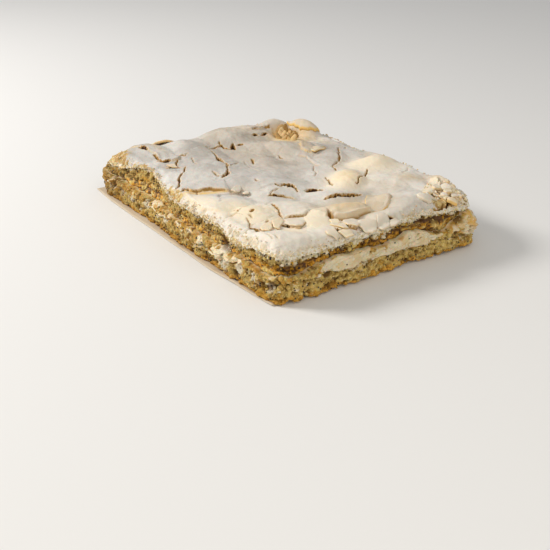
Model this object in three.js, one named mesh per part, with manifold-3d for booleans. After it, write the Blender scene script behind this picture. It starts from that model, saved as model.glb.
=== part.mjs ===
// A slab of poppy seed cake, cut by hand from a tray bake, with a cracked meringue top.
// In millimetres, +Z up. The long cut face looks along -Y, the short cut face along +X, and the slab lies on a
// sheet of baking paper whose underside is z = 0. From below: lower sponge, cream, caramel, upper sponge,
// meringue.
import * as THREE from "three";
import { mergeVertices } from "three/addons/utils/BufferGeometryUtils.js";
import Module from "manifold-3d";

const wasm = await Module();
wasm.setup();

// Plan of the slab. Each corner has its own radius, because two of its sides are cut and two were baked.
const LENGTH = 245;
const WIDTH = 172;
const CORNER_RADII = { cutCut: 11, cutBaked: 15, bakedCut: 22, bakedBaked: 20 };

// Mean height of each boundary between two layers, and the least that a layer may thin to.
const PAPER_THICKNESS = 0.4;
const LAYER_GAP = 0.3;
const BASE = PAPER_THICKNESS + LAYER_GAP;
const LOWER_SPONGE_TOP = 12.5;
const CREAM_TOP = 18;
const CARAMEL_TOP = 23.5;
const UPPER_SPONGE_TOP = 30.5;
const MERINGUE_TOP = 35.5;
const LEAST_LAYER = 1.6;

// How far the layers stand proud of the plan, and how the sides lean in from the base to the rim.
const FOOT_OUTSET = 1.2;
const LEAN = 2.6;
const SPONGE_RELIEF = 1.1;
const CARAMEL_RECESS = 1.6;
const CREAM_BULGE = 0.8;
const MERINGUE_OVERHANG = 1.4;
const MERINGUE_RELIEF = 0.8;
const EDGE_ROLL = 9;
const EDGE_DROP = 4;
const CUT_EDGE_DROP = 1.8;

// Spoonfuls where the cream lies thick: place on the plan, reach, rise of its top and fall of its underside,
// and how far it is squeezed out of the side.
const CREAM_POCKETS = [
  { x: 122, y: -46, reach: 13, rise: 2.5, fall: -1.5, squeeze: 0.4 },
  { x: 122, y: -20, reach: 11, rise: 3, fall: -0.5, squeeze: 0.8 },
  { x: 122, y: 22, reach: 16, rise: 5, fall: 1.5, squeeze: 1.0 },
  { x: 118, y: 70, reach: 12, rise: 7.5, fall: 3.5, squeeze: 4.5 },
  { x: -26, y: -86, reach: 9, rise: 1.5, fall: 1, squeeze: 0.5 },
  { x: 20, y: -86, reach: 12, rise: 0.5, fall: 1.5, squeeze: 0.2 },
  { x: 60, y: -86, reach: 12, rise: 1, fall: 4, squeeze: 1.6 },
  { x: -60, y: 86, reach: 18, rise: 2, fall: 1, squeeze: 1 },
  { x: 30, y: 86, reach: 20, rise: 3, fall: 1, squeeze: 1.5 },
  { x: -122, y: 10, reach: 18, rise: 2, fall: 1, squeeze: 0.8 },
];

// Places on the rim where the meringue hangs lower over the side (sag) or leaves the sponge bare (sag below 0).
const RIM_SAGS = [
  { x: 78, y: -86, reach: 16, sag: 6 },
  { x: -56, y: -86, reach: 24, sag: -3 },
  { x: -4, y: -86, reach: 9, sag: 2 },
  { x: 122, y: 30, reach: 18, sag: -2.5 },
  { x: 122, y: 78, reach: 12, sag: 3 },
  { x: -98, y: -86, reach: 26, sag: 4.5 },
];

// Where the caramel lies thicker: place, reach and rise of its top.
const CARAMEL_SWELLS = [
  { x: 122, y: -50, reach: 14, rise: 2.2 },
  { x: 122, y: 40, reach: 12, rise: 3 },
];

// The baked short side is the thinner one: the upper layers fall towards it.
const END_FALL = { from: -84, to: -123, fall: 4.5 };

// Where the cut wandered: the side moves by dx and dy, over all its height or, with rimOnly, mostly at the rim.
const PUSHES = [
  { x: -58, y: -86, reach: 34, dx: 0, dy: 8, rimOnly: true },
  { x: 32, y: -86, reach: 36, dx: 0, dy: -3, rimOnly: false },
  { x: 122, y: 14, reach: 26, dx: -2.2, dy: 0, rimOnly: false },
  { x: 108, y: 78, reach: 26, dx: -3, dy: -3, rimOnly: true },
  { x: -118, y: -82, reach: 20, dx: -5, dy: -4, rimOnly: false },
  { x: -118, y: -82, reach: 20, dx: 8, dy: 5.5, rimOnly: true },
  { x: -78, y: -86, reach: 20, dx: 0, dy: -1.8, rimOnly: false },
  { x: -44, y: -86, reach: 16, dx: 0, dy: -1, rimOnly: false },
  { x: 0, y: -86, reach: 30, dx: 0, dy: -2.6, rimOnly: false },
  { x: 96, y: -86, reach: 42, dx: 0, dy: -2.8, rimOnly: false },
];

// Pillows of the meringue: centre, half-lengths along and across, turn in degrees, and rise. Where two meet,
// the higher one wins, softened over a small height, which leaves a crease between them.
const PILLOW_SOFTNESS = 0.9;
const PILLOWS = [
  { x: -88, y: 14, along: 42, across: 28, turn: 86, rise: 8 },
  { x: -87, y: 52, along: 18, across: 12, turn: 70, rise: 9.5 },
  { x: -68, y: 71, along: 17, across: 10, turn: 14, rise: 8.5 },
  { x: -44, y: 20, along: 27, across: 18, turn: 35, rise: 4 },
  { x: -25, y: 47, along: 17, across: 13, turn: 0, rise: 3.5 },
  { x: 5, y: 42, along: 20, across: 12, turn: -40, rise: 3.5 },
  { x: 29, y: 62, along: 20, across: 16, turn: 80, rise: 4.5 },
  { x: 50, y: 23, along: 20, across: 14, turn: -52, rise: 6 },
  { x: -18, y: 1, along: 16, across: 12, turn: 0, rise: 3 },
  { x: -94, y: -64, along: 32, across: 22, turn: 14, rise: 4.5 },
  { x: -84, y: -38, along: 24, across: 19, turn: 60, rise: 3.5 },
  { x: -30, y: -46, along: 28, across: 15, turn: 15, rise: 3 },
  { x: 74, y: 50, along: 30, across: 24, turn: -50, rise: 4 },
  { x: 104, y: -72, along: 21, across: 13, turn: 62, rise: 4 },
  { x: 34, y: -76, along: 26, across: 11, turn: 8, rise: 1.5 },
  { x: 68, y: -36, along: 20, across: 13, turn: 50, rise: 4.5 },
  { x: 88, y: -12, along: 24, across: 9, turn: 78, rise: 5 },
  { x: 95, y: 14, along: 12, across: 10, turn: 40, rise: 4 },
  { x: 106, y: 34, along: 34, across: 13, turn: -62, rise: 4 },
  { x: 97, y: -42, along: 14, across: 10, turn: 60, rise: 2.5 },
  { x: 62, y: -62, along: 16, across: 10, turn: 20, rise: 2.5 },
  { x: 20, y: -30, along: 26, across: 14, turn: 30, rise: 2 },
  { x: -112, y: 32, along: 22, across: 13, turn: 90, rise: 4 },
  { x: 90, y: 78, along: 18, across: 9, turn: -10, rise: 4.5 },
  { x: 16, y: 80, along: 12, across: 8, turn: 0, rise: 2.5 },
];

// Hollows, with their half-lengths along x and y and their depth.
const HOLLOWS = [
  { x: -30, y: 80, along: 36, across: 17, depth: 3 },
  { x: -120, y: -14, along: 12, across: 9, depth: 2.5 },
  { x: 116, y: 84, along: 14, across: 10, depth: 3 },
  { x: 18, y: -2, along: 16, across: 10, depth: 1 },
];

// Cracks through the crust: the route over the plan, the width at its middle and the depth.
const CRACKS = [
  { route: [[-94, -67], [-84, -65], [-70, -64], [-62, -62], [-60, -56], [-62, -50]], width: 1.8, depth: 3 },
  { route: [[-62, -50], [-70, -43], [-71, -38]], width: 1.4, depth: 2.5 },
  { route: [[-58, -56], [-50, -59], [-43, -60]], width: 1.2, depth: 2.5 },
  { route: [[-39, -58], [-26, -67], [-16, -76], [-8, -84]], width: 2, depth: 4 },
  { route: [[-64, -21], [-53, -24], [-38, -29], [-24, -32], [-12, -37], [-6, -42]], width: 2.6, depth: 5 },
  { route: [[-70, -21], [-66, -18], [-69, -12], [-64, -9], [-58, -5]], width: 1.6, depth: 3.5 },
  { route: [[-19, -31], [-24, -24], [-29, -18]], width: 1.4, depth: 2.5 },
  { route: [[58, -80], [55, -72], [53, -64], [52, -60]], width: 2.6, depth: 3 },
  { route: [[-81, 29], [-84, 40], [-82, 46]], width: 2, depth: 4 },
  { route: [[-72, 24], [-71, 30], [-73, 39]], width: 2, depth: 4 },
  { route: [[-17, 68], [-3, 56], [12, 45], [21, 31], [31, 27]], width: 1.2, depth: 3 },
  { route: [[41, 48], [51, 37], [63, 20]], width: 1.4, depth: 3 },
  { route: [[32, -26], [34, -20], [38, -16], [43, -17]], width: 2, depth: 4 },
  { route: [[45, -11], [49, -5], [52, -2]], width: 3.2, depth: 4.5 },
  { route: [[68, -11], [70, -5], [73, 3], [76, 13]], width: 2.4, depth: 5 },
  { route: [[58, -48], [69, -50], [78, -51], [82, -40]], width: 1.6, depth: 4 },
  { route: [[80, -79], [86, -77], [90, -80]], width: 2.4, depth: 4 },
  { route: [[88, -25], [97, -29], [104, -33]], width: 2.4, depth: 4 },
  { route: [[85, -58], [89, -58], [93, -58]], width: 3, depth: 4 },
];

// Plates of crust that have lifted along one edge: the middle of the free edge, its half-length, how far the
// plate reaches back to its root, the way it faces in degrees, and the lift of the free edge.
const LIFTED_PLATES = [
  { x: -109, y: -37, half: 9, reach: 7, facing: -35, lift: 4.5 },
  { x: 8, y: -67, half: 17, reach: 11, facing: -30, lift: 2.2 },
  { x: -63, y: 66, half: 12, reach: 10, facing: -62, lift: 3 },
  { x: -21, y: 36, half: 14, reach: 10, facing: -75, lift: 2 },
  { x: 47, y: -31, half: 8, reach: 7, facing: -35, lift: 1.6 },
  { x: 100, y: -12, half: 17, reach: 10, facing: -6, lift: 3 },
  { x: 89, y: -46, half: 11, reach: 9, facing: -8, lift: 1.8 },
  { x: 96, y: -56, half: 6, reach: 6, facing: -50, lift: 2.4 },
  { x: 113, y: -30, half: 6, reach: 6, facing: -20, lift: 2.2 },
  { x: -52, y: -63, half: 6, reach: 7, facing: -50, lift: 2 },
];

// Meringue chips that broke off and lie loose on the top, by the corner: place, size and turn in degrees.
const CHIPS = [
  { x: 112, y: 37, length: 11, width: 9, turn: 20 },
  { x: 100, y: 68, length: 9, width: 7, turn: 70 },
  { x: 109, y: 58, length: 7, width: 5, turn: -30 },
];
const CHIP_THICKNESS = 2.2;
const CHIP_GAP = 0.1;

// Crumbled meringue, fused to the top where the slab was broken from the tray.
const RUBBLE = { x: 108, y: 66, reach: 15, count: 26, least: 1.6, most: 3.4 };

const COLOURS = {
  paper: 0xc9b796,
  sponge: 0xc2ad7c,
  cream: 0xeadfc4,
  caramel: 0xa8680f,
  meringue: 0xe6ddcc,
};

// Cells of the meringue's grid along and across. The other layers use every second point of its edge.
const CELLS_ALONG = 52;
const CELLS_ACROSS = 36;

const mix = (a, b, share) => a + (b - a) * share;
const smoothStep = (value, low, high) => {
  const t = Math.min(Math.max((value - low) / (high - low), 0), 1);
  return t * t * (3 - 2 * t);
};
const bell = (x, y, spot) => Math.exp(-((x - spot.x) ** 2 + (y - spot.y) ** 2) / spot.reach ** 2);

// A fixed pseudo-random number from 0 to 1 for each whole-number triple, from a mixed integer hash.
function scatter(i, j, k, seed) {
  let h = Math.imul(i, 73856093) ^ Math.imul(j, 19349663);
  h ^= Math.imul(k, 83492791) ^ Math.imul(seed, 40503);
  for (let n = 0; n < 2; n++) h = Math.imul(h ^ (h >>> 16), 0x45d9f3b);
  return ((h ^ (h >>> 16)) & 0xffffff) / 0x1000000;
}

// Smooth noise from -1 to 1, with features one size across: hashed corner values, blended by a smooth step.
function noise(x, y, z, size, seed) {
  const low = [x, y, z].map((v) => Math.floor(v / size));
  const [u, v, w] = [x, y, z].map((p, n) => p / size - low[n]).map((t) => t * t * (3 - 2 * t));
  const [i, j, k] = low;
  let sum = 0;
  for (let corner = 0; corner < 8; corner++) {
    const [a, b, c] = [corner & 1, (corner >> 1) & 1, corner >> 2];
    const weight = (a ? u : 1 - u) * (b ? v : 1 - v) * (c ? w : 1 - w);
    sum += weight * scatter(i + a, j + b, k + c, seed);
  }
  return 2 * sum - 1;
}

function cornerRadius(s, t) {
  if (s > 0) return t < 0 ? CORNER_RADII.cutCut : CORNER_RADII.bakedCut;
  return t < 0 ? CORNER_RADII.cutBaked : CORNER_RADII.bakedBaked;
}

// Maps the square -1..1 to the slab's plan: straight sides, and each corner square bent to a quarter disc.
function planPoint(s, t) {
  const r = cornerRadius(s, t);
  const [px, py] = [Math.abs(s) * (LENGTH / 2), Math.abs(t) * (WIDTH / 2)];
  const [cx, cy] = [LENGTH / 2 - r, WIDTH / 2 - r];
  let [x, y] = [px, py];
  if (px > cx && py > cy) {
    const [u, v] = [(px - cx) / r, (py - cy) / r];
    x = cx + r * u * Math.sqrt(1 - (v * v) / 2);
    y = cy + r * v * Math.sqrt(1 - (u * u) / 2);
  }
  return [Math.sign(s) * x, Math.sign(t) * y];
}

// Depth of a plan point inside the edge of the slab.
function depthInside(x, y) {
  const r = cornerRadius(x, y);
  const [qx, qy] = [Math.abs(x) - (LENGTH / 2 - r), Math.abs(y) - (WIDTH / 2 - r)];
  const outside = Math.hypot(Math.max(qx, 0), Math.max(qy, 0)) + Math.min(Math.max(qx, qy), 0);
  return r - outside;
}

// The grid's edge as a loop, anticlockwise from above, each point with its grid place and outward direction.
function edgeLoop(step) {
  const places = [];
  for (let i = 0; i < CELLS_ALONG; i += step) places.push([i, 0]);
  for (let j = 0; j < CELLS_ACROSS; j += step) places.push([CELLS_ALONG, j]);
  for (let i = CELLS_ALONG; i > 0; i -= step) places.push([i, CELLS_ACROSS]);
  for (let j = CELLS_ACROSS; j > 0; j -= step) places.push([0, j]);
  const points = places.map(([i, j]) => planPoint((2 * i) / CELLS_ALONG - 1, (2 * j) / CELLS_ACROSS - 1));
  return points.map(([x, y], n) => {
    const [ax, ay] = points.at(n - 1);
    const [bx, by] = points[(n + 1) % points.length];
    const size = Math.hypot(bx - ax, by - ay);
    return { x, y, i: places[n][0], j: places[n][1], outX: (by - ay) / size, outY: -(bx - ax) / size };
  });
}

// Boundaries between the layers, which wander a little and swell round the pockets of cream.
const wander = (x, y, size, seed) => size * noise(x, y, 0, 23, seed);
const pocketSum = (x, y, key) => CREAM_POCKETS.reduce((sum, spot) => sum + spot[key] * bell(x, y, spot), 0);
const sagSum = (x, y) => RIM_SAGS.reduce((sum, spot) => sum + spot.sag * bell(x, y, spot), 0);
const swellSum = (x, y) => CARAMEL_SWELLS.reduce((sum, spot) => sum + spot.rise * bell(x, y, spot), 0);

// Share of the fall at the baked short side.
function endFall(x) {
  return END_FALL.fall * smoothStep(x, END_FALL.from, END_FALL.to);
}

function spongeTop(x, y) {
  return LOWER_SPONGE_TOP - pocketSum(x, y, "fall") + wander(x, y, 1.3, 11);
}

function creamTop(x, y) {
  return Math.max(CREAM_TOP + pocketSum(x, y, "rise") + wander(x, y, 1, 12), spongeTop(x, y) + LEAST_LAYER);
}

function caramelTop(x, y) {
  const free = CARAMEL_TOP + 0.6 * pocketSum(x, y, "rise") + swellSum(x, y) + wander(x, y, 1.2, 13);
  return Math.max(free - 0.4 * sagSum(x, y) - 0.5 * endFall(x), creamTop(x, y) + LEAST_LAYER);
}

function upperSpongeTop(x, y) {
  const free = UPPER_SPONGE_TOP - sagSum(x, y) - 0.7 * endFall(x) + wander(x, y, 0.8, 14);
  return Math.max(free, caramelTop(x, y) + LEAST_LAYER);
}

// Square of the distance from a pillow's or hollow's centre, in its own half-lengths.
function roundSquare(x, y, { x: px, y: py, along, across, turn = 0 }) {
  const angle = THREE.MathUtils.degToRad(turn);
  const [dx, dy] = [x - px, y - py];
  const u = (dx * Math.cos(angle) + dy * Math.sin(angle)) / along;
  const v = (dy * Math.cos(angle) - dx * Math.sin(angle)) / across;
  return u * u + v * v;
}

// A soft maximum of level ground and every pillow, each a bowl turned over, less the hollows.
function pillowRise(x, y) {
  const bowl = (pillow) => pillow.rise * (1 - Math.min(roundSquare(x, y, pillow), 3));
  const total = PILLOWS.reduce((sum, pillow) => sum + Math.exp(bowl(pillow) / PILLOW_SOFTNESS), 1);
  const sunk = HOLLOWS.reduce((sum, hollow) => sum + hollow.depth * Math.exp(-roundSquare(x, y, hollow)), 0);
  return PILLOW_SOFTNESS * Math.log(total) - sunk;
}

// Top of the meringue: pillows on a level, falling at the baked end and rolled down at the rim.
function meringueTop(x, y) {
  const inside = Math.min(Math.max(depthInside(x, y) / EDGE_ROLL, 0), 1);
  const drop = EDGE_DROP + CUT_EDGE_DROP * smoothStep(x / LENGTH - y / WIDTH, -0.1, 0.3);
  const roll = drop * (1 - Math.sqrt(1 - (1 - inside) ** 2));
  const free = MERINGUE_TOP + pillowRise(x, y) + wander(x, y, 1.2, 15) - roll - endFall(x);
  return Math.max(free, upperSpongeTop(x, y) + LAYER_GAP + LEAST_LAYER);
}

// Outset of a side at a height: the lean from foot to rim, the crumb's relief and what the layer adds.
function sideOutset(x, y, z, relief, extra) {
  const lean = FOOT_OUTSET - LEAN * Math.min(z / UPPER_SPONGE_TOP, 1);
  return lean + extra + relief * noise(x, y, z, 5, 16);
}

// Moves a point of the slab as the pushes say. It is one rule for all layers, so that they stay nested.
function pushed(x, y, z) {
  let [px, py] = [x, y];
  for (const push of PUSHES) {
    const share = bell(x, y, push) * (push.rimOnly ? Math.min(z / UPPER_SPONGE_TOP, 1) ** 2 : 1);
    px += push.dx * share;
    py += push.dy * share;
  }
  return [px, py, z];
}

// A layer between two heights, closed by lids that run level a little way in from the side and then slope
// to the height at the centre. bottom and top give the heights at the side. A layer with another kind of
// upper face leaves out top's row and gives that face as capTop.
function layerShell({ rows, bottom, top, centreBottom, centreTop, relief, extra, capTop }) {
  const LEVEL_STRIP = 4;
  const loop = edgeLoop(2);
  const count = loop.length;
  const positions = [];
  const faces = [];
  const strip = (lower, upper, flip) => {
    for (let n = 0; n < count; n++) {
      const next = (n + 1) % count;
      const [a, b, c, d] = [lower + n, lower + next, upper + next, upper + n];
      faces.push(...(flip ? [a, c, b, a, d, c] : [a, b, c, a, c, d]));
    }
  };
  const ring = (place) => {
    const first = positions.length / 3;
    for (const p of loop) positions.push(...place(p));
    return first;
  };
  const row = (share) => ring((p) => {
    const z = mix(bottom(p.x, p.y), top(p.x, p.y), share);
    const out = sideOutset(p.x, p.y, z, relief, extra(p.x, p.y, share));
    return [p.x + p.outX * out, p.y + p.outY * out, z];
  });
  const lid = (rim, height, level, flip) => {
    const near = ring((p) => [p.x - p.outX * LEVEL_STRIP, p.y - p.outY * LEVEL_STRIP, height(p.x, p.y)]);
    const centre = positions.length / 3;
    positions.push(0, 0, level);
    strip(rim, near, flip);
    for (let n = 0; n < count; n++) {
      const next = (n + 1) % count;
      faces.push(...(flip ? [near + next, near + n, centre] : [near + n, near + next, centre]));
    }
  };
  const side = [];
  for (let n = 0; n < (capTop ? rows : rows + 1); n++) side.push(row(n / rows));
  for (let n = 1; n < side.length; n++) strip(side[n - 1], side[n], false);
  lid(side[0], bottom, centreBottom, true);
  if (capTop) capTop(positions, faces, side.at(-1));
  else lid(side.at(-1), top, centreTop, false);
  return { positions, faces };
}

function toSolid({ positions, faces }) {
  const placed = [];
  for (let v = 0; v < positions.length; v += 3) placed.push(...pushed(...positions.slice(v, v + 3)));
  const shape = new wasm.Mesh({
    numProp: 3,
    vertProperties: new Float32Array(placed),
    triVerts: new Uint32Array(faces),
  });
  return new wasm.Manifold(shape);
}

function toGeometry(solid) {
  const { numProp, numVert, vertProperties, triVerts } = solid.getMesh();
  const positions = new Float32Array(numVert * 3);
  for (let v = 0; v < numVert; v++) {
    positions.set(vertProperties.subarray(v * numProp, v * numProp + 3), v * 3);
  }
  const geometry = new THREE.BufferGeometry();
  geometry.setAttribute("position", new THREE.BufferAttribute(positions, 3));
  geometry.setIndex(new THREE.BufferAttribute(triVerts, 1));
  geometry.computeVertexNormals();
  return geometry;
}

function namedMesh(name, geometry, colour, roughness) {
  const material = new THREE.MeshStandardMaterial({ color: colour, roughness, metalness: 0 });
  const mesh = new THREE.Mesh(geometry, material);
  mesh.name = name;
  return mesh;
}

function layerMesh(name, colour, roughness, settings) {
  const shell = layerShell({ rows: 3, ...settings });
  return namedMesh(name, toGeometry(toSolid(shell)), colour, roughness);
}

// The sheet of baking paper, a little askew under the slab, so that it shows along the long cut face.
function bakingPaper() {
  const front = [[-129, -89.5], [-99, -92.3], [53, -93.4], [118, -89]];
  const back = [[117.5, 60], [114, 83], [-60, 84], [-127, 81]];
  const outline = new THREE.Shape([...front, ...back].map(([x, y]) => new THREE.Vector2(x, y)));
  const sheet = new THREE.ExtrudeGeometry(outline, { depth: PAPER_THICKNESS, bevelEnabled: false });
  return namedMesh("baking_paper", sheet, COLOURS.paper, 0.7);
}

function lowerSponge() {
  return layerMesh("lower_sponge", COLOURS.sponge, 0.95, {
    bottom: () => BASE,
    top: spongeTop,
    centreBottom: BASE,
    centreTop: LOWER_SPONGE_TOP,
    relief: SPONGE_RELIEF,
    extra: (x, y, share) => -0.8 * (1 - share) ** 3,
  });
}

function creamFilling() {
  return layerMesh("cream_filling", COLOURS.cream, 0.45, {
    bottom: (x, y) => spongeTop(x, y) + LAYER_GAP,
    top: creamTop,
    centreBottom: LOWER_SPONGE_TOP + LAYER_GAP,
    centreTop: CREAM_TOP,
    relief: 0.9,
    extra: (x, y, share) => (CREAM_BULGE + pocketSum(x, y, "squeeze")) * Math.sin(Math.PI * share),
  });
}

function caramelFilling() {
  return layerMesh("caramel_filling", COLOURS.caramel, 0.5, {
    bottom: (x, y) => creamTop(x, y) + LAYER_GAP,
    top: caramelTop,
    centreBottom: CREAM_TOP + LAYER_GAP,
    centreTop: CARAMEL_TOP,
    relief: 1,
    extra: () => -CARAMEL_RECESS,
  });
}

function upperSponge() {
  return layerMesh("upper_sponge", COLOURS.sponge, 0.95, {
    bottom: (x, y) => caramelTop(x, y) + LAYER_GAP,
    top: upperSpongeTop,
    centreBottom: CARAMEL_TOP + LAYER_GAP,
    centreTop: UPPER_SPONGE_TOP,
    relief: SPONGE_RELIEF,
    extra: (x, y, share) => -0.5 * share,
  });
}

// The meringue's top: a grid of heights, whose edge has twice the points of the side's row below it.
function meringueCap(positions, faces, sideRow) {
  const loop = edgeLoop(1);
  const index = new Map();
  for (const p of loop) {
    const z = meringueTop(p.x, p.y);
    const out = sideOutset(p.x, p.y, z, MERINGUE_RELIEF, 0);
    index.set([p.i, p.j].join(), positions.length / 3);
    positions.push(p.x + p.outX * out, p.y + p.outY * out, z);
  }
  const rim = positions.length / 3 - loop.length;
  for (let n = 0; n < loop.length; n += 2) {
    const [low, lowNext] = [sideRow + n / 2, sideRow + ((n + 2) % loop.length) / 2];
    const [high, middle, highNext] = [rim + n, rim + n + 1, rim + ((n + 2) % loop.length)];
    faces.push(low, lowNext, middle, low, middle, high, lowNext, highNext, middle);
  }
  for (let j = 1; j < CELLS_ACROSS; j++) {
    for (let i = 1; i < CELLS_ALONG; i++) {
      const [x, y] = planPoint((2 * i) / CELLS_ALONG - 1, (2 * j) / CELLS_ACROSS - 1);
      index.set([i, j].join(), positions.length / 3);
      positions.push(x, y, meringueTop(x, y));
    }
  }
  for (let j = 0; j < CELLS_ACROSS; j++) {
    for (let i = 0; i < CELLS_ALONG; i++) {
      const around = [[i, j], [i + 1, j], [i + 1, j + 1], [i, j + 1]];
      const [a, b, c, d] = around.map((place) => index.get(place.join()));
      faces.push(a, b, c, a, c, d);
    }
  }
}

// A crack: a V-shaped wedge along its route, narrowing to nothing at both ends.
function crackWedge({ route, width, depth }) {
  const ABOVE = 6;
  const positions = [];
  const faces = [];
  const last = route.length - 1;
  route.forEach(([x, y], n) => {
    const [ax, ay] = route[Math.max(n - 1, 0)];
    const [bx, by] = route[Math.min(n + 1, last)];
    const size = Math.hypot(bx - ax, by - ay);
    const share = 0.25 + 0.75 * Math.sin((Math.PI * (n + 0.4)) / (last + 0.8));
    const top = meringueTop(x, y);
    const deep = depth * share;
    const half = (width / 2) * share * ((deep + ABOVE) / deep);
    const [sideX, sideY] = [(-(by - ay) / size) * half, ((bx - ax) / size) * half];
    positions.push(x + sideX, y + sideY, top + ABOVE, x - sideX, y - sideY, top + ABOVE, x, y, top - deep);
  });
  for (let n = 0; n < last; n++) {
    for (let side = 0; side < 3; side++) {
      const [a, b] = [n * 3 + side, n * 3 + ((side + 1) % 3)];
      faces.push(a, b, b + 3, a, b + 3, a + 3);
    }
  }
  faces.push(0, 2, 1, last * 3, last * 3 + 1, last * 3 + 2);
  return toSolid({ positions, faces });
}

// A lifted plate: a thin curved sheet rooted in the crust, whose ragged free edge stands clear of it.
function liftedPlate({ x, y, half, reach, facing, lift }) {
  const ALONG = 7;
  const BACK = 3;
  const THICKNESS = 1.3;
  const ROOT_SINK = 1.6;
  const turn = THREE.MathUtils.degToRad(facing);
  const [outX, outY] = [Math.cos(turn), Math.sin(turn)];
  const positions = [];
  for (const side of [0, 1]) {
    for (let b = 0; b <= BACK; b++) {
      for (let a = 0; a <= ALONG; a++) {
        const along = (2 * a) / ALONG - 1;
        const free = b / BACK;
        const ragged = 1 + 0.18 * noise(x + 9 * a, y + 9 * b, 0, 7, 17);
        const back = -reach * (1 - free * ragged) - 0.22 * half * along ** 2 * free;
        const slide = along * half * (1 - 0.25 * (1 - free)) * ragged;
        const [px, py] = [x + outX * back - outY * slide, y + outY * back + outX * slide];
        const rise = lift * free ** 1.5 * (1 - 0.35 * along ** 2) - ROOT_SINK * (1 - free) ** 2;
        positions.push(px, py, meringueTop(px, py) + rise - side * THICKNESS * (1 - 0.35 * free));
      }
    }
  }
  const faces = [];
  const wide = ALONG + 1;
  const under = wide * (BACK + 1);
  const place = (a, b, side) => side * under + b * wide + a;
  const quad = (p, q, r, s) => faces.push(p, q, r, p, r, s);
  for (let b = 0; b < BACK; b++) {
    for (let a = 0; a < ALONG; a++) {
      quad(place(a, b, 0), place(a, b + 1, 0), place(a + 1, b + 1, 0), place(a + 1, b, 0));
      quad(place(a, b, 1), place(a + 1, b, 1), place(a + 1, b + 1, 1), place(a, b + 1, 1));
    }
    quad(place(0, b, 0), place(0, b, 1), place(0, b + 1, 1), place(0, b + 1, 0));
    quad(place(ALONG, b, 0), place(ALONG, b + 1, 0), place(ALONG, b + 1, 1), place(ALONG, b, 1));
  }
  for (let a = 0; a < ALONG; a++) {
    quad(place(a, 0, 0), place(a + 1, 0, 0), place(a + 1, 0, 1), place(a, 0, 1));
    quad(place(a, BACK, 0), place(a, BACK, 1), place(a + 1, BACK, 1), place(a + 1, BACK, 0));
  }
  return toSolid({ positions, faces });
}

// An uneven lump: a low-sided ball with each corner moved in or out, squashed and set in place.
function lump(x, y, z, size, flat, seed) {
  const ball = new THREE.IcosahedronGeometry(1, 0);
  ball.deleteAttribute("normal");
  ball.deleteAttribute("uv");
  const merged = mergeVertices(ball);
  const at = merged.getAttribute("position");
  const positions = [];
  for (let v = 0; v < at.count; v++) {
    const grow = size * (0.75 + 0.5 * scatter(v, seed, 9, 18));
    positions.push(x + at.getX(v) * grow, y + at.getY(v) * grow, z + at.getZ(v) * grow * flat);
  }
  return toSolid({ positions, faces: [...merged.index.array] });
}

function rubbleLumps() {
  const lumps = [];
  for (let n = 0; n < RUBBLE.count; n++) {
    const angle = 2 * Math.PI * scatter(n, 1, 5, 19);
    const out = RUBBLE.reach * Math.sqrt(scatter(n, 2, 5, 19));
    const [x, y] = [RUBBLE.x + out * Math.cos(angle), RUBBLE.y + out * Math.sin(angle)];
    const underChip = CHIPS.some((chip) => Math.hypot(x - chip.x, y - chip.y) < chip.length / 2 + RUBBLE.most);
    if (depthInside(x, y) < RUBBLE.most || underChip) continue;
    const size = mix(RUBBLE.least, RUBBLE.most, scatter(n, 3, 5, 19));
    lumps.push(lump(x, y, meringueTop(x, y) + 0.2 * size, size, 0.7, n));
  }
  return lumps;
}

function meringue() {
  const shell = layerShell({
    rows: 2,
    bottom: (x, y) => upperSpongeTop(x, y) + LAYER_GAP,
    top: meringueTop,
    centreBottom: UPPER_SPONGE_TOP + LAYER_GAP,
    relief: MERINGUE_RELIEF,
    extra: (x, y, share) => MERINGUE_OVERHANG * (1 - share),
    capTop: meringueCap,
  });
  let solid = toSolid(shell);
  for (const crack of CRACKS) solid = solid.subtract(crackWedge(crack));
  for (const piece of [...LIFTED_PLATES.map(liftedPlate), ...rubbleLumps()]) solid = solid.add(piece);
  return namedMesh("meringue", toGeometry(solid), COLOURS.meringue, 0.85);
}

// A loose chip: a thin slab of crust with uneven corners, lying on the slope just clear of the meringue.
function meringueChip({ x, y, length, width, turn }, n) {
  const SIDES = 7;
  const BEVEL = 0.5;
  const outline = new THREE.Shape();
  for (let side = 0; side < SIDES; side++) {
    const angle = (2 * Math.PI * side) / SIDES;
    const grow = 0.85 + 0.3 * scatter(side, n, 3, 20);
    const [px, py] = [(length / 2) * grow * Math.cos(angle), (width / 2) * grow * Math.sin(angle)];
    if (side === 0) outline.moveTo(px, py);
    else outline.lineTo(px, py);
  }
  const bevel = { bevelEnabled: true, bevelThickness: BEVEL, bevelSize: 0.6, bevelSegments: 1 };
  const chip = new THREE.ExtrudeGeometry(outline, { depth: CHIP_THICKNESS - 2 * BEVEL, ...bevel });
  const level = meringueTop(x, y);
  const slopeX = (meringueTop(x + 2, y) - meringueTop(x - 2, y)) / 4;
  const slopeY = (meringueTop(x, y + 2) - meringueTop(x, y - 2)) / 4;
  let clear = 0;
  for (let angle = 0; angle < 2 * Math.PI; angle += Math.PI / 9) {
    for (const share of [0.5, 0.8, 1.1]) {
      const [dx, dy] = [(Math.cos(angle) * length * share) / 2, (Math.sin(angle) * length * share) / 2];
      clear = Math.max(clear, meringueTop(x + dx, y + dy) - level - slopeX * dx - slopeY * dy);
    }
  }
  const mesh = namedMesh("meringue_chip_" + (n + 1), chip, COLOURS.meringue, 0.85);
  const upright = new THREE.Vector3(0, 0, 1);
  const normal = new THREE.Vector3(-slopeX, -slopeY, 1).normalize();
  mesh.quaternion.setFromUnitVectors(upright, normal);
  mesh.rotateZ(THREE.MathUtils.degToRad(turn));
  mesh.position.set(x, y, level).addScaledVector(normal, clear + CHIP_GAP + BEVEL);
  return mesh;
}

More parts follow.
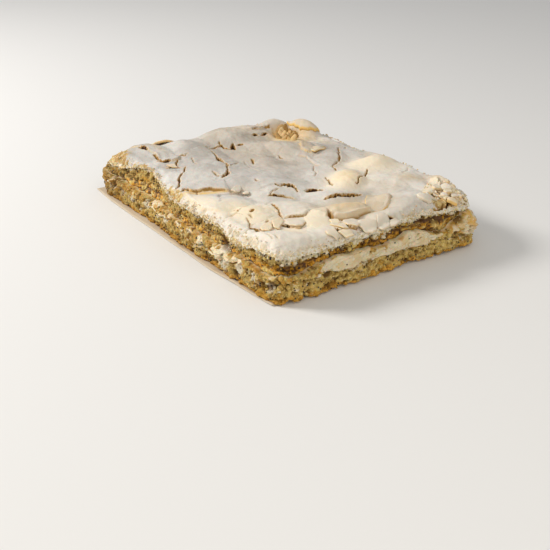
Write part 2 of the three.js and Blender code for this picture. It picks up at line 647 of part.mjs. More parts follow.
const cake = new THREE.Group();
cake.name = "poppy_seed_cake";
cake.add(bakingPaper(), lowerSponge(), creamFilling(), caramelFilling(), upperSponge(), meringue());
CHIPS.forEach((chip, n) => cake.add(meringueChip(chip, n)));

export default cake;
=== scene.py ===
import bpy
from mathutils import Matrix
import numpy as np


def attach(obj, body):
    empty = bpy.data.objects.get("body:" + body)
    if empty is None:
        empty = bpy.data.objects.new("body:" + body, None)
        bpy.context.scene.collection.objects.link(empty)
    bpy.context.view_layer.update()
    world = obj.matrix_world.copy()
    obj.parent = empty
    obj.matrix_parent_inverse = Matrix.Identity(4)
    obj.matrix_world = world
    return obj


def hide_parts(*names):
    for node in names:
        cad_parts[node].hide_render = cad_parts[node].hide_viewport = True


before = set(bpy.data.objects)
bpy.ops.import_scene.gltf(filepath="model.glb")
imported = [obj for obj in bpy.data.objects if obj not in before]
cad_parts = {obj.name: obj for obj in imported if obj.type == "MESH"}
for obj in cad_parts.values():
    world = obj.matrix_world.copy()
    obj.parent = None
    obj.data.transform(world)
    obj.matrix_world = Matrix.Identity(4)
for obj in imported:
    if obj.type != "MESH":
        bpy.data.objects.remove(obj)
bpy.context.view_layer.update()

# Lengths below are in millimetres. The slab's long cut face looks along -Y and its short cut face along +X.


# Baking paper. The cake was baked on a sheet of brown parchment and lifted out on it, so the sheet lies
# under the whole slab and shows along the long cut face. It is thin, a little greasy and creased.
MM = 0.001
PAPER_THICKNESS = 0.4
PAPER_FRONT = [(-129, -89.5), (-99, -92.3), (53, -93.4), (118, -89)]
PAPER_BACK = [(-127, 81), (-60, 84), (114, 83), (117.5, 60)]
PAPER_TAN = (0.62, 0.52, 0.385, 1)
PAPER_GREASE = (0.55, 0.43, 0.28, 1)
PAPER_FIBRE = (0.62, 0.52, 0.39, 1)


def scatter(i, j, k, seed):
    """A fixed pseudo-random number from 0 to 1 for each whole-number triple, from a mixed integer hash."""
    i, j, k = (np.asarray(v).astype(np.int64) for v in (i, j, k))
    h = ((i * 73856093) ^ (j * 19349663) ^ (k * 83492791) ^ (seed * 40503)) & 0xFFFFFFFF
    for _ in range(2):
        h = ((h ^ (h >> 16)) * 0x45D9F3B) & 0xFFFFFFFF
    return ((h ^ (h >> 16)) & 0xFFFFFF) / float(0x1000000)


def noise(x, y, z, size, seed):
    """Smooth noise from -1 to 1 with features one size across: hashed corner values, blended by an S."""
    x, y, z = np.broadcast_arrays(*(np.asarray(v, float) / size for v in (x, y, z)))
    low = [np.floor(v) for v in (x, y, z)]
    ease = [(v - f) ** 2 * (3 - 2 * (v - f)) for v, f in zip((x, y, z), low)]
    total = np.zeros(x.shape)
    for a in (0, 1):
        for b in (0, 1):
            for c in (0, 1):
                weight = np.ones(x.shape)
                for share, upper in zip(ease, (a, b, c)):
                    weight = weight * (share if upper else 1 - share)
                total += weight * scatter(low[0] + a, low[1] + b, low[2] + c, seed)
    return 2 * total - 1


def smooth_step(value, low, high):
    """0 below low, 1 above high and an even S between."""
    t = np.clip((value - low) / (high - low), 0, 1)
    return t * t * (3 - 2 * t)


class Socket:
    """A number in a material's node tree. Python's operators on it add the Math nodes."""

    def __init__(self, finish, socket):
        self.finish = finish
        self.socket = socket

    def maths(self, operation, *values):
        return self.finish.node("ShaderNodeMath", {"operation": operation}, dict(enumerate(values)))

    def __add__(self, other):
        return self.maths("ADD", self, other)

    def __rsub__(self, other):
        return self.maths("SUBTRACT", other, self)

    def __mul__(self, other):
        return self.maths("MULTIPLY", self, other)

    __radd__ = __add__
    __rmul__ = __mul__

    def step(self, low, high):
        """0 below low, 1 above high and an even S between."""
        settings = {"interpolation_type": "SMOOTHSTEP"}
        inputs = {"Value": self, "From Min": low, "From Max": high}
        return self.finish.node("ShaderNodeMapRange", settings, inputs)


class Finish:
    """A procedural material: a Principled shader, and the nodes that feed it."""

    def __init__(self, name, **constants):
        self.material = bpy.data.materials.new(name)
        self.material.use_nodes = True
        self.tree = self.material.node_tree
        self.shader = self.tree.nodes["Principled BSDF"]
        for socket, value in constants.items():
            self.shader.inputs[socket.replace("_", " ")].default_value = value
        self.place = self.node("ShaderNodeTexCoord", {}, {}, "Object")

    def node(self, kind, settings, inputs, output=0):
        """Adds a node. Settings are set first, then each input is linked to a socket or given a value."""
        made = self.tree.nodes.new(kind)
        for name, value in settings.items():
            setattr(made, name, value)
        for name, value in inputs.items():
            if isinstance(value, Socket):
                self.tree.links.new(value.socket, made.inputs[name])
            else:
                made.inputs[name].default_value = value
        return Socket(self, made.outputs[output])

    def grain(self, size, detail=3.0, stretch=(1, 1, 1), roughness=0.55):
        """Noise from 0 to 1 on the piece's own coordinates, with features about one size, in mm, across."""
        scaled = self.node("ShaderNodeMapping", {}, {"Vector": self.place, "Scale": stretch})
        inputs = {"Vector": scaled, "Scale": 1 / (size * MM), "Detail": detail, "Roughness": roughness}
        return self.node("ShaderNodeTexNoise", {}, inputs)

    def mottle(self, size, low, high, detail=4):
        """The grain drawn apart to patches: 0 where it is below low and 1 where it is above high."""
        return self.grain(size, detail).step(low, high)

    def attribute(self, name):
        """A number that the mesh stores at each vertex."""
        return self.node("ShaderNodeAttribute", {"attribute_name": name}, {}, "Fac")

    def blend(self, share, first, second):
        """The first colour where share is 0 and the second where it is 1. Mix has sockets of one name for
        each kind of value, so they go by number: 6 and 7 are its colours, and 2 is the one that it gives."""
        settings = {"data_type": "RGBA"}
        return self.node("ShaderNodeMix", settings, {0: share, 6: first, 7: second}, 2)

    def bump(self, height, distance):
        inputs = {"Height": height, "Distance": distance * MM}
        self.feed("Normal", self.node("ShaderNodeBump", {}, inputs))

    def feed(self, name, value):
        self.tree.links.new(value.socket, self.shader.inputs[name])


def add_piece(name, points, faces, finish, slot, **attributes):
    """A smooth mesh piece from points in mm, a list of face arrays, each of triangles or of quads, and the
    numbers that its finish reads at each point."""
    mesh = bpy.data.meshes.new(name)
    points = np.asarray(points, float).reshape(-1, 3)
    mesh.vertices.add(len(points))
    mesh.vertices.foreach_set("co", (points * MM).ravel())
    corners = np.concatenate([np.asarray(group).ravel() for group in faces]).astype(np.int32)
    sizes = np.concatenate([np.full(len(group), np.shape(group)[1]) for group in faces]).astype(np.int32)
    mesh.loops.add(len(corners))
    mesh.loops.foreach_set("vertex_index", corners)
    mesh.polygons.add(len(sizes))
    mesh.polygons.foreach_set("loop_start", np.concatenate([[0], np.cumsum(sizes)[:-1]]).astype(np.int32))
    mesh.polygons.foreach_set("loop_total", sizes)
    mesh.polygons.foreach_set("use_smooth", np.ones(len(sizes), bool))
    mesh.update(calc_edges=True)
    for key, values in attributes.items():
        stored = mesh.attributes.new(key, "FLOAT", "POINT")
        stored.data.foreach_set("value", np.asarray(values, np.float32).ravel())
    mesh.materials.append(finish.material)
    piece = bpy.data.objects.new(name, mesh)
    bpy.context.scene.collection.objects.link(piece)
    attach(piece, "root")
    return piece


def grid_faces(rows, columns, first=0):
    """Quads of a grid whose points are stored row by row, anticlockwise with columns right and rows up."""
    row, column = np.meshgrid(np.arange(rows - 1), np.arange(columns - 1), indexing="ij")
    corner = (first + row * columns + column).ravel()
    return np.stack([corner, corner + 1, corner + columns + 1, corner + columns], axis=1)


def loop_faces(lower, upper):
    """Quads between two closed loops of points, anticlockwise as seen from outside."""
    return np.stack([lower, np.roll(lower, -1), np.roll(upper, -1), upper], axis=1)


def turned_over(quads):
    """The same quads, seen from their other side."""
    return quads[:, [0, 3, 2, 1]]


def paper_finish():
    """Tan parchment, darker where butter soaked in, with faint fibres."""
    finish = Finish("parchment", Specular_IOR_Level=0.35)
    fibres = finish.grain(0.9, detail=5, stretch=(1, 3, 1))
    soaked = finish.mottle(24, 0.45, 0.7, 3)
    tone = finish.blend(soaked * 0.8, PAPER_TAN, PAPER_GREASE)
    finish.feed("Base Color", finish.blend(fibres * 0.25, tone, PAPER_FIBRE))
    finish.feed("Roughness", 0.72 - soaked * 0.25)
    finish.bump(fibres, 0.12)
    return finish


def paper_sheet():
    """The sheet: a grid of shares along and across, spread between a front and a back edge of three
    straight legs each, and lifted in low creases near its edges. The same grid below it closes the sheet."""
    columns, rows = 120, 90
    u, v = np.meshgrid(np.linspace(0, 1, columns), np.linspace(0, 1, rows))
    sides = np.array([PAPER_FRONT, PAPER_BACK], float)
    along = np.linspace(0, 1, 4)
    edge = [np.stack([np.interp(u, along, side[:, axis]) for axis in (0, 1)], -1) for side in sides]
    plan = edge[0] * (1 - v[..., None]) + edge[1] * v[..., None]
    x, y = plan[..., 0], plan[..., 1]
    outside = smooth_step(np.minimum.reduce([u, 1 - u, v, 1 - v]), 0.05, 0.0)
    lift = outside * (0.2 + 0.3 * noise(x, y, 0 * x, 19, 3) + 0.15 * noise(x, y, 0 * x, 5, 4))
    top = np.stack([x, y, PAPER_THICKNESS + np.maximum(lift, 0)], -1)
    under = top - [0, 0, PAPER_THICKNESS * 0.9]
    points = np.concatenate([top.reshape(-1, 3), under.reshape(-1, 3)])
    n = rows * columns
    lids = [grid_faces(rows, columns), grid_faces(rows, columns, n)[:, ::-1]]
    index = np.arange(n).reshape(rows, columns)
    rim = np.concatenate([index[0, :-1], index[:-1, -1], index[-1, :0:-1], index[:0:-1, 0]])
    return points, lids + [turned_over(loop_faces(rim, rim + n))]


baking_paper = add_piece("paper_sheet", *paper_sheet(), paper_finish(), "baking_paper")
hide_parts("baking_paper")


# Lower sponge. A sheet of poppy seed sponge, baked on the paper, so its base is a golden crust. Two sides
# were cut, which opened the crumb: pores, torn crumbs and seeds show. The other two are finished alike.
LENGTH = 245.0
WIDTH = 172.0
CORNER_CUT_CUT = 11.0
CORNER_CUT_BAKED = 15.0
CORNER_BAKED_CUT = 22.0
CORNER_BAKED_BAKED = 20.0
LAYER_GAP = 0.3
BASE = PAPER_THICKNESS + LAYER_GAP
LOWER_SPONGE_TOP = 12.5
UPPER_SPONGE_TOP = 30.5
FOOT_OUTSET = 1.2
LEAN = 2.6
# Where the cut wandered: place, reach, move in x and y, and 1 where only the rim moves.
PUSHES = [
    (-58, -86, 34, 0, 8, 1),
    (32, -86, 36, 0, -3, 0),
    (122, 14, 26, -2.2, 0, 0),
    (108, 78, 26, -3, -3, 1),
    (-118, -82, 20, -5, -4, 0),
    (-118, -82, 20, 8, 5.5, 1),
    (-78, -86, 20, 0, -1.8, 0),
    (-44, -86, 16, 0, -1, 0),
    (0, -86, 30, 0, -2.6, 0),
    (96, -86, 42, 0, -2.8, 0),
]
# Where the cream lies thick: place, reach, rise of its top, fall of its underside, and how far it bulges out
# of the side.
CREAM_POCKETS = [
    (122, -46, 13, 2.5, -1.5, 0.4),
    (122, -20, 11, 3, -0.5, 0.8),
    (122, 22, 16, 5, 1.5, 1.0),
    (118, 70, 12, 7.5, 3.5, 4.5),
    (-26, -86, 9, 1.5, 1, 0.5),
    (20, -86, 12, 0.5, 1.5, 0.2),
    (60, -86, 12, 1, 4, 1.6),
    (-60, 86, 18, 2, 1, 1),
    (30, 86, 20, 3, 1, 1.5),
    (-122, 10, 18, 2, 1, 0.8),
]
RISE, FALL, BULGE = 3, 4, 5
SIDE_SPACING = 0.6
# Seeds of the ragged boundary at the top of each layer.
LOWER_EDGE, CREAM_EDGE, CARAMEL_EDGE, UPPER_EDGE = 23, 48, 51, 57
# Deep holes in the sides, where crumbs fell out, and one swelling, whose depth is below 0: place, radius and
# depth.
SIDE_HOLES = [
    (-120, -80, 19, 8.0, -2.5),
    (-119, -84, 2, 9.0, 4.0),
    (64, -86, 19.5, 4.2, 5.5),
    (77, -86, 6, 2.2, 2.5),
    (-14, -86, 6.5, 2.0, 2.5),
    (-98, -86, 13, 2.6, 2.5),
    (-22, -86, 21, 2.2, 2.5),
    (122, 50, 29, 4.0, 3.0),
    (122, -50, 12, 2.6, 3.0),
    (122, 63, 22, 3.0, 3.0),
    (122, -68, 20, 2.0, 2.5),
]
# Spots on the sides: place and radius of each patch soaked amber, and of each smear of cream.
AMBER_SPOTS = [
    (15, -86, 20.5, 4.0),
    (2, -86, 20.5, 3.5),
    (96, -86, 20, 6.5),
    (105, -86, 9, 3.5),
    (-29, -86, 16, 3.5),
    (-20, -86, 18, 3.0),
    (-96, -86, 11, 4.0),
    (-53, -86, 21, 4.0),
    (-75, -86, 16, 4.0),
    (-82, -86, 19, 3.5),
    (-106, -86, 13, 3.5),
    (122, -4, 20.5, 4.0),
    (122, 10, 23, 3.5),
    (122, 57, 22, 4.0),
    (122, 49, 23.5, 3.5),
]
CREAM_SPOTS = [
    (-16, -86, 12, 4.5),
    (37, -86, 15, 4.0),
    (64, -86, 11, 7.0),
    (82, -86, 12, 4.0),
    (114, -86, 10, 3.5),
    (-84, -86, 10, 3.0),
    (-46, -86, 12, 4.0),
    (-69, -86, 11, 3.0),
    (-100, -86, 17, 2.5),
    (-31, -86, 18, 3.0),
    (99, -86, 12, 4.0),
    (122, 57, 17.5, 3.5),
    (122, 67, 13, 4.0),
]
CRUMB_PALE = (0.63, 0.455, 0.14, 1)
CRUMB_SHADY = (0.31, 0.19, 0.045, 1)
CRUMB_WARM = (0.44, 0.22, 0.03, 1)
CRUMB_BRIGHT = (0.80, 0.635, 0.28, 1)
CRUMB_PAINTED_SHADE = (0.12, 0.052, 0.006, 1)
STAIN_AMBER = (0.50, 0.25, 0.02, 1)
STAIN_GOLD = (0.62, 0.36, 0.06, 1)
CREAM_SMEAR = (0.76, 0.68, 0.50, 1)
BASE_GOLD = (0.68, 0.37, 0.06, 1)
BASE_BROWN = (0.34, 0.15, 0.014, 1)
CRUMB_BODY = dict(Roughness=0.85, Specular_IOR_Level=0.25, Subsurface_Weight=0.1, Subsurface_Scale=0.002)
FRONT_CORNER = (122, -86)
# How far a lid's ring lies inside the side that it closes.
LID_INSET = 4.0


def rough(x, y, z, size, seed, octaves=3):
    """Noise with finer noise on it: each octave has half the size and 0.55 of the strength of the last."""
    return sum(0.55 ** n * noise(x, y, z, size / 2**n, seed + n) for n in range(octaves))


def corner_radius(x, y):
    cut = np.where(y < 0, CORNER_CUT_CUT, CORNER_BAKED_CUT)
    baked = np.where(y < 0, CORNER_CUT_BAKED, CORNER_BAKED_BAKED)
    return np.where(x > 0, cut, baked)


def plan_point(s, t):
    """Maps the square -1..1 to the slab's plan, with each corner square bent to a quarter disc."""
    r = corner_radius(s, t)
    px, py = np.abs(s) * LENGTH / 2, np.abs(t) * WIDTH / 2
    u = np.maximum(px - (LENGTH / 2 - r), 0) / r
    v = np.maximum(py - (WIDTH / 2 - r), 0) / r
    bent = (u > 0) & (v > 0)
    x = np.where(bent, LENGTH / 2 - r + r * u * np.sqrt(1 - v * v / 2), px)
    y = np.where(bent, WIDTH / 2 - r + r * v * np.sqrt(1 - u * u / 2), py)
    return np.sign(s) * x, np.sign(t) * y


def square_edge(columns, rows):
    """Places on the square's edge as a loop, anticlockwise: columns steps along and rows steps across."""
    along, across = np.arange(columns), np.arange(rows)
    i = np.concatenate([along, np.full(rows, columns), columns - along, np.zeros(rows, int)])
    j = np.concatenate([np.zeros(columns, int), across, np.full(columns, rows), rows - across])
    return i, j


def with_outward(x, y):
    """A loop's points with the outward direction at each, square to the line between its neighbours."""
    dx, dy = np.roll(x, -1) - np.roll(x, 1), np.roll(y, -1) - np.roll(y, 1)
    size = np.hypot(dx, dy)
    return x, y, dy / size, -dx / size


def side_loop(spacing):
    """The slab's edge as an anticlockwise loop of evenly spaced points."""
    steps = 400
    i, j = square_edge(steps, steps)
    x, y = plan_point(2 * i / steps - 1, 2 * j / steps - 1)
    x, y = np.append(x, x[0]), np.append(y, y[0])
    length = np.concatenate([[0], np.cumsum(np.hypot(np.diff(x), np.diff(y)))])
    at = np.linspace(0, length[-1], int(length[-1] / spacing), endpoint=False)
    return with_outward(np.interp(at, length, x), np.interp(at, length, y))


def bell(x, y, px, py, reach):
    """1 at a place on the plan, fading with the square of the distance."""
    return np.exp(-((x - px) ** 2 + (y - py) ** 2) / reach**2)


def ball_bell(x, y, z, px, py, pz, reach):
    """The same about a place in space."""
    return np.exp(-((x - px) ** 2 + (y - py) ** 2 + (z - pz) ** 2) / reach**2)


def wander(x, y, size, seed):
    """The slow unevenness of a level, up to a size in mm."""
    return size * noise(x, y, 0, 23, seed)


def cream_sum(x, y, column):
    """The sum over the cream pockets of their rise, fall or bulge, fading with distance."""
    return sum(spot[column] * bell(x, y, *spot[:3]) for spot in CREAM_POCKETS)


def sponge_top(x, y):
    return LOWER_SPONGE_TOP - cream_sum(x, y, FALL) + wander(x, y, 1.3, 11)


def side_outset(z):
    """How far a side stands outside the plan: out at the foot, in at the rim."""
    return FOOT_OUTSET - LEAN * np.clip(z / UPPER_SPONGE_TOP, 0, 1)


def pushed(points):
    """Moves points as the pushes say, each by its bell on the plan and, for the rim, by height squared."""
    x, y, z = np.moveaxis(points, -1, 0)
    rim = np.minimum(z / UPPER_SPONGE_TOP, 1) ** 2
    moved = points.copy()
    for px, py, reach, dx, dy, rim_only in PUSHES:
        share = bell(x, y, px, py, reach) * (rim if rim_only else 1)
        moved[..., 0] += dx * share
        moved[..., 1] += dy * share
    return moved


def cell_distance(x, y, z, size, seed):
    """Distance, in cells, to the nearest of the points scattered one to each cell of a grid."""
    x, y, z = x / size, y / size, z / size
    i, j, k = np.floor(x), np.floor(y), np.floor(z)
    nearest = np.full(x.shape, 9.0)
    for a in (-1, 0, 1):
        for b in (-1, 0, 1):
            for c in (-1, 0, 1):
                spot = [scatter(i + a, j + b, k + c, seed + n) for n in range(3)]
                dx, dy, dz = i + a + spot[0] - x, j + b + spot[1] - y, k + c + spot[2] - z
                nearest = np.minimum(nearest, dx * dx + dy * dy + dz * dz)
    return np.sqrt(nearest)


def side_holes(x, y, z):
    """Depth of the deep holes, each a bell about its place, and the painted shade inside them."""
    depth, shade = np.zeros(z.shape), np.zeros(z.shape)
    for *place, deep in SIDE_HOLES:
        hole = ball_bell(x, y, z, *place)
        depth = depth + deep * hole
        shade = shade + 1.4 * hole * (deep > 0)
    return depth, shade


def spotted(side, loop, spots):
    """How strongly the spots mark each place of a side: 1 inside a spot, 0 outside, with a ragged border."""
    x, y, z = loop[0], loop[1], side[..., 2]
    near = np.max([ball_bell(x, y, z, *spot) for spot in spots], axis=0)
    return smooth_step(near + 0.4 * rough(x, y, z, 3, 29, 3), 0.25, 0.7)


def crumb_relief(x, y, z, seed, coarse=1.0):
    """Height of torn crumb above its mean face, and the painted shade for its colour: coarse lumps, ragged
    tears between them, fine grain, round pores of two sizes and the deep holes, with the shade painted dark
    in the pores, tears, low places and holes. The short cut face was broken rather than cut, so its relief
    is stronger. coarse scales the size of the lumps."""
    pores = smooth_step(cell_distance(x, y, z, 4.2, seed), 0.45, 0.12)
    small = smooth_step(cell_distance(x, y, z, 2.2, seed + 5), 0.36, 0.12)
    lumps = rough(x, y, z, 6.0 * coarse, seed + 9, 3)
    tears = smooth_step(rough(x, y, 1.4 * z, 5.0, seed + 17, 3), 0.15, 0.5)
    fine = rough(x, y, z, 1.7, seed + 13, 2)
    height = 1.1 * coarse * lumps + 0.45 * fine - 1.1 * pores - 0.5 * small - 1.3 * tears
    shade = 0.7 * pores + 0.25 * small + 0.6 * tears + 0.45 * smooth_step(-lumps, 0.1, 0.8)
    shade = shade + 0.15 * smooth_step(-fine, 0, 0.6)
    height *= 1 + 0.45 * smooth_step(x, 112, 120)
    depth, dark = side_holes(x, y, z)
    return height - depth, np.clip(shade + dark, 0, 1)


def ragged(x, y, seed):
    """Unevenness of the boundary between two layers, in mm, alike for the one above and the one below."""
    return 1.5 * rough(x, y, 0, 8, seed, 4)


def layer_points(bottom, top, outset, relief):
    """A layer's side, from bottom to top in even rows. Each point stands off the plan by outset and relief.
    Returns the points as rows by places, the relief's painted shade, the share of the height and the loop."""
    x, y, out_x, out_y = side_loop(SIDE_SPACING)
    low, high = bottom(x, y), top(x, y)
    rows = int(np.ceil(np.max(high - low) / SIDE_SPACING)) + 1
    share = np.linspace(0, 1, rows)[:, None]
    z = low + np.maximum(high - low, 0.8) * share
    out = side_outset(z) + outset(x, y, share)
    flat = np.stack([x + out_x * out, y + out_y * out, z], -1)
    bulge, shade = relief(flat[..., 0], flat[..., 1], z)
    bulge = bulge - 0.5 * (1 - smooth_step(np.minimum(share, 1 - share), 0, 0.1))
    points = flat + np.stack([out_x * bulge, out_y * bulge, 0 * z], -1)
    return pushed(points), shade, share + 0 * z, (x, y, out_x, out_y)


def ring_faces(rows, count, first=0):
    """Quads between rings of count points each, stored ring by ring."""
    rings = first + np.arange(rows * count).reshape(rows, count)
    return np.concatenate([loop_faces(lower, upper) for lower, upper in zip(rings[:-1], rings[1:])])


def fan_faces(middle, loop):
    """Triangles from a middle point to a closed loop of points."""
    return np.stack([np.full(len(loop), middle), loop, np.roll(loop, -1)], axis=1)


def add_layer(name, side, loop, levels, finish, slot, **values):
    """A layer's piece. Its side is closed by two lids, each a ring a little way inside and a fan to a middle
    point at the layer's lower or upper level. The finish's numbers are 0 on the lids."""
    rows, count = side.shape[:2]
    x, y, out_x, out_y = loop
    inset = [x - out_x * LID_INSET, y - out_y * LID_INSET]
    rings = [pushed(np.stack([*inset, edge[:, 2]], -1)) for edge in (side[0], side[-1])]
    middles = [[0, 0, level] for level in levels]
    points = np.concatenate([side.reshape(-1, 3), *rings, middles])
    place = np.arange(count)
    low_ring = rows * count + place
    high_ring = low_ring + count
    middle = (rows + 2) * count
    faces = [
        ring_faces(rows, count),
        turned_over(loop_faces(place, low_ring)),
        loop_faces(low_ring - count, high_ring),
        fan_faces(middle, low_ring)[:, ::-1],
        fan_faces(middle + 1, high_ring),
    ]
    numbers = {key: np.append(own, np.zeros(2 * count + 2)) for key, own in values.items()}
    return add_piece(name, points, faces, finish, slot, **numbers)


def crumb_tone(finish, coarse=1.0):
    """Colour of cut crumb: pale lumps among shady ones, warm in wide patches, with dry bright grains. Finer
    crumb is shadier."""
    shady = 0.38 + 0.06 * coarse
    tone = finish.blend(finish.mottle(3.0 * coarse, shady, shady + 0.18), CRUMB_PALE, CRUMB_SHADY)
    tone = finish.blend(finish.mottle(8.0, 0.5, 0.6) * 0.45, tone, CRUMB_WARM)
    return finish.blend(finish.mottle(1.5 * coarse, 0.54, 0.64) * 0.85, tone, CRUMB_BRIGHT)


def feed_with_pores(finish, tone, strength, dark):
    """Feeds a tone to the colour, with painted shade: darkened where the relief's shade is deep."""
    pores = finish.attribute("pore").step(0.1, 1.0)
    finish.feed("Base Color", finish.blend(pores * strength, tone, dark))


def crumb_finish(name, coarse=1.0):
    """Open crumb with pores darkened by painted shade, stained amber by the filling, smeared with cream,
    golden at the base.
    """
    finish = Finish(name, **CRUMB_BODY)
    gold = finish.blend(finish.mottle(1.5, 0.48, 0.62), BASE_GOLD, BASE_BROWN)
    tone = finish.blend(finish.attribute("crusty"), crumb_tone(finish, coarse), gold)
    amber = finish.blend(finish.mottle(2.0, 0.4, 0.6), STAIN_AMBER, STAIN_GOLD)
    tone = finish.blend(finish.attribute("stain"), tone, amber)
    tone = finish.blend(finish.attribute("smear"), tone, CREAM_SMEAR)
    feed_with_pores(finish, tone, 0.9, CRUMB_PAINTED_SHADE)
    finish.bump(finish.grain(0.8, detail=5, roughness=0.7), 0.4)
    return finish


def side_spots(side, loop, count, sink, rng, low=0.05, high=0.95):
    """Random places on a side, each sunk into it, with their rows and places in the side's grid."""
    rows, places = side.shape[:2]
    row = (rng.uniform(low, high, count) * (rows - 1)).astype(int)
    place = rng.integers(0, places, count)
    outward = np.stack([loop[2][place], loop[3][place], np.zeros(count)], -1)
    return side[row, place] - outward * np.reshape(sink, (-1, 1)), row, place


def patches(side, size, seed, bias):
    """0 to 1 in ragged patches over a side. A bias of 1 covers nearly all of it, and -1 nearly none."""
    x, y, z = np.moveaxis(side, -1, 0)
    return smooth_step(rough(x, y, 1.5 * z, size, seed, 4) + bias, -0.08, 0.12)


def long_face(loop):
    """1 on the long cut face, 0 elsewhere."""
    return smooth_step(-loop[3], 0.4, 0.8)


def short_face(loop):
    """1 on the short cut face, 0 elsewhere."""
    return smooth_step(loop[2], 0.4, 0.8)


def painted_face_shade(loop):
    """Painted shade over the long cut face's crumb, which grows towards the baked end: the face's colour is
    made darker than the same crumb elsewhere.
    """
    return (0.42 + 0.22 * smooth_step(-loop[0], 60, 100)) * long_face(loop)


crumb_rng = np.random.default_rng(7)
seeds_placed = []
crumbs_placed = []


def strew_crumbs_and_seeds(side, loop, stain, smear, seeds, crumbs):
    """Adds seeds and torn crumbs on a side to the lists that two meshes are made from at the end. Crumbs are
    larger on the short cut face and by the front corner. Each takes the stain and the smear of its place."""
    spots, _, _ = side_spots(side, loop, seeds, crumb_rng.uniform(-0.2, 0.25, seeds), crumb_rng)
    seeds_placed.append(spots)
    sizes = 0.3 + 0.7 * crumb_rng.random(crumbs) ** 3
    spots, row, place = side_spots(side, loop, crumbs, 0.35 * sizes, crumb_rng)
    by_corner = bell(*loop[:2], *FRONT_CORNER, 24)
    sizes *= 1 + 0.6 * short_face(loop)[place] + 0.7 * by_corner[place]
    spots[:, 2] = np.maximum(spots[:, 2], BASE + sizes)
    crumbs_placed.append((spots, sizes, stain[row, place], smear[row, place]))


lower_side, lower_pores, lower_share, lower_loop = layer_points(
    lambda x, y: BASE + 0.3 + 0.6 * noise(x, y, 0, 4, 21),
    lambda x, y: sponge_top(x, y) + ragged(x, y, LOWER_EDGE),
    lambda x, y, share: -0.8 * (1 - share) ** 3,
    lambda x, y, z: crumb_relief(x, y, z, 31),
)
lower_long = long_face(lower_loop)
lower_crust = lower_side[..., 2] + 2.6 * rough(*np.moveaxis(lower_side, -1, 0), 4.5, 25, 3)
lower_crust = smooth_step(lower_crust, 4.2 + 0.9 * lower_long, 3.2 + 0.7 * lower_long)
lower_stain = 0.7 * patches(lower_side, 7, 26, 0.35 * lower_long - 0.95)
lower_stain = np.maximum(lower_stain, spotted(lower_side, lower_loop, AMBER_SPOTS))
lower_smear = 0.8 * patches(lower_side, 5, 27, -1.45 + 1.1 * lower_share**2 + 0.15 * lower_long)
lower_smear = np.maximum(lower_smear, spotted(lower_side, lower_loop, CREAM_SPOTS))
# Painted shade darkens this crumb's colour in its relief's hollows and over the whole long cut face.
lower_sponge = add_layer(
    "lower_sponge_crumb", lower_side, lower_loop, (BASE, LOWER_SPONGE_TOP), crumb_finish("sponge_crumb"),
    "sponge", pore=np.maximum(lower_pores, painted_face_shade(lower_loop)), crusty=lower_crust, stain=lower_stain,
    smear=lower_smear,
)
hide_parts("lower_sponge")
golden = np.maximum(lower_stain, 0.8 * lower_crust)
strew_crumbs_and_seeds(lower_side, lower_loop, golden, lower_smear, seeds=420, crumbs=1500)


# Cream. Whipped cream, spread cold on the lower sponge and pressed by the layers above it, so it bulges at
# the sides, thick in some places and thin in others, and swells to a bulb at the back right corner.
CREAM_TOP = 18.0
LEAST_LAYER = 1.6
CREAM_IVORY = (0.69, 0.545, 0.30, 1)
CREAM_WHITE = (0.76, 0.65, 0.45, 1)
CREAM_AMBER = (0.66, 0.38, 0.07, 1)
BULB = (124, 72)
LEFT_CORNER = (-122, -82)
# Where crumbs left the cream bare along the long cut face: place along it, reach and strength.
BARE_CREAM = [(58, 14, 1.1), (-28, 10, 0.6)]


def cream_top(x, y):
    free = CREAM_TOP + cream_sum(x, y, RISE) + wander(x, y, 1, 12)
    return np.maximum(free, sponge_top(x, y) + LEAST_LAYER)


def crumb_cover(x, y, z):
    """How far crumbs hide the cream, 0 to 1. They hide most of it along the long cut face and at the corners
    at its ends, and little of it along the short cut face."""
    along_long = smooth_step(-y, 78, 84)
    along_short = smooth_step(x, 114, 120) * (1 - along_long)
    on_long = 0.5
    for place, reach, strength in BARE_CREAM:
        on_long = on_long - strength * np.exp(-((x - place) / reach) ** 2)
    on_short = -0.3 + 1.2 * smooth_step(-y, 50, 68) + 1.1 * np.exp(-((y - 54) / 10) ** 2)
    on_short = on_short + 0.15 * smooth_step(y, 58, 64)
    bias = 0.05 + along_long * (on_long - 0.05) + along_short * (on_short - 0.05)
    bias = bias + bell(x, y, *LEFT_CORNER, 24)
    streaks = rough(x, 0.55 * y, 1.9 * z - 0.35 * y, 7, 40, 4)
    return smooth_step(streaks + bias, -0.05, 0.12)


def cream_relief(x, y, z):
    """Smooth folds: long waves that slant upward, and ribs where one smear laps over another. Where crumbs
    cover the cream, their relief stands in place of the folds."""
    slant = z * 2.2 - 0.45 * y + 0.3 * x
    waves = 1.2 * noise(x, 0.6 * y, slant, 9, 41) + 0.4 * noise(x, y, slant * 1.5, 3.6, 43)
    laps = smooth_step(np.abs(noise(x * 0.6, y * 0.5, slant * 1.2, 6.5, 45)), 0.25, 0.0)
    lumpy = bell(x, y, *BULB, 14) * rough(x, y, z, 5, 47, 3)
    folds = waves + 1.2 * laps + 1.8 * lumpy
    torn, pores = crumb_relief(x, y, z, 49)
    cover = crumb_cover(x, y, z)
    depth, dark = side_holes(x, y, z)
    height = (folds - depth) * (1 - cover) + (torn + 0.5) * cover
    # The second number is painted shade: dark in the crumbs' pores and hollows and in the deep holes.
    return height, np.maximum(pores * cover, np.minimum(dark, 1))


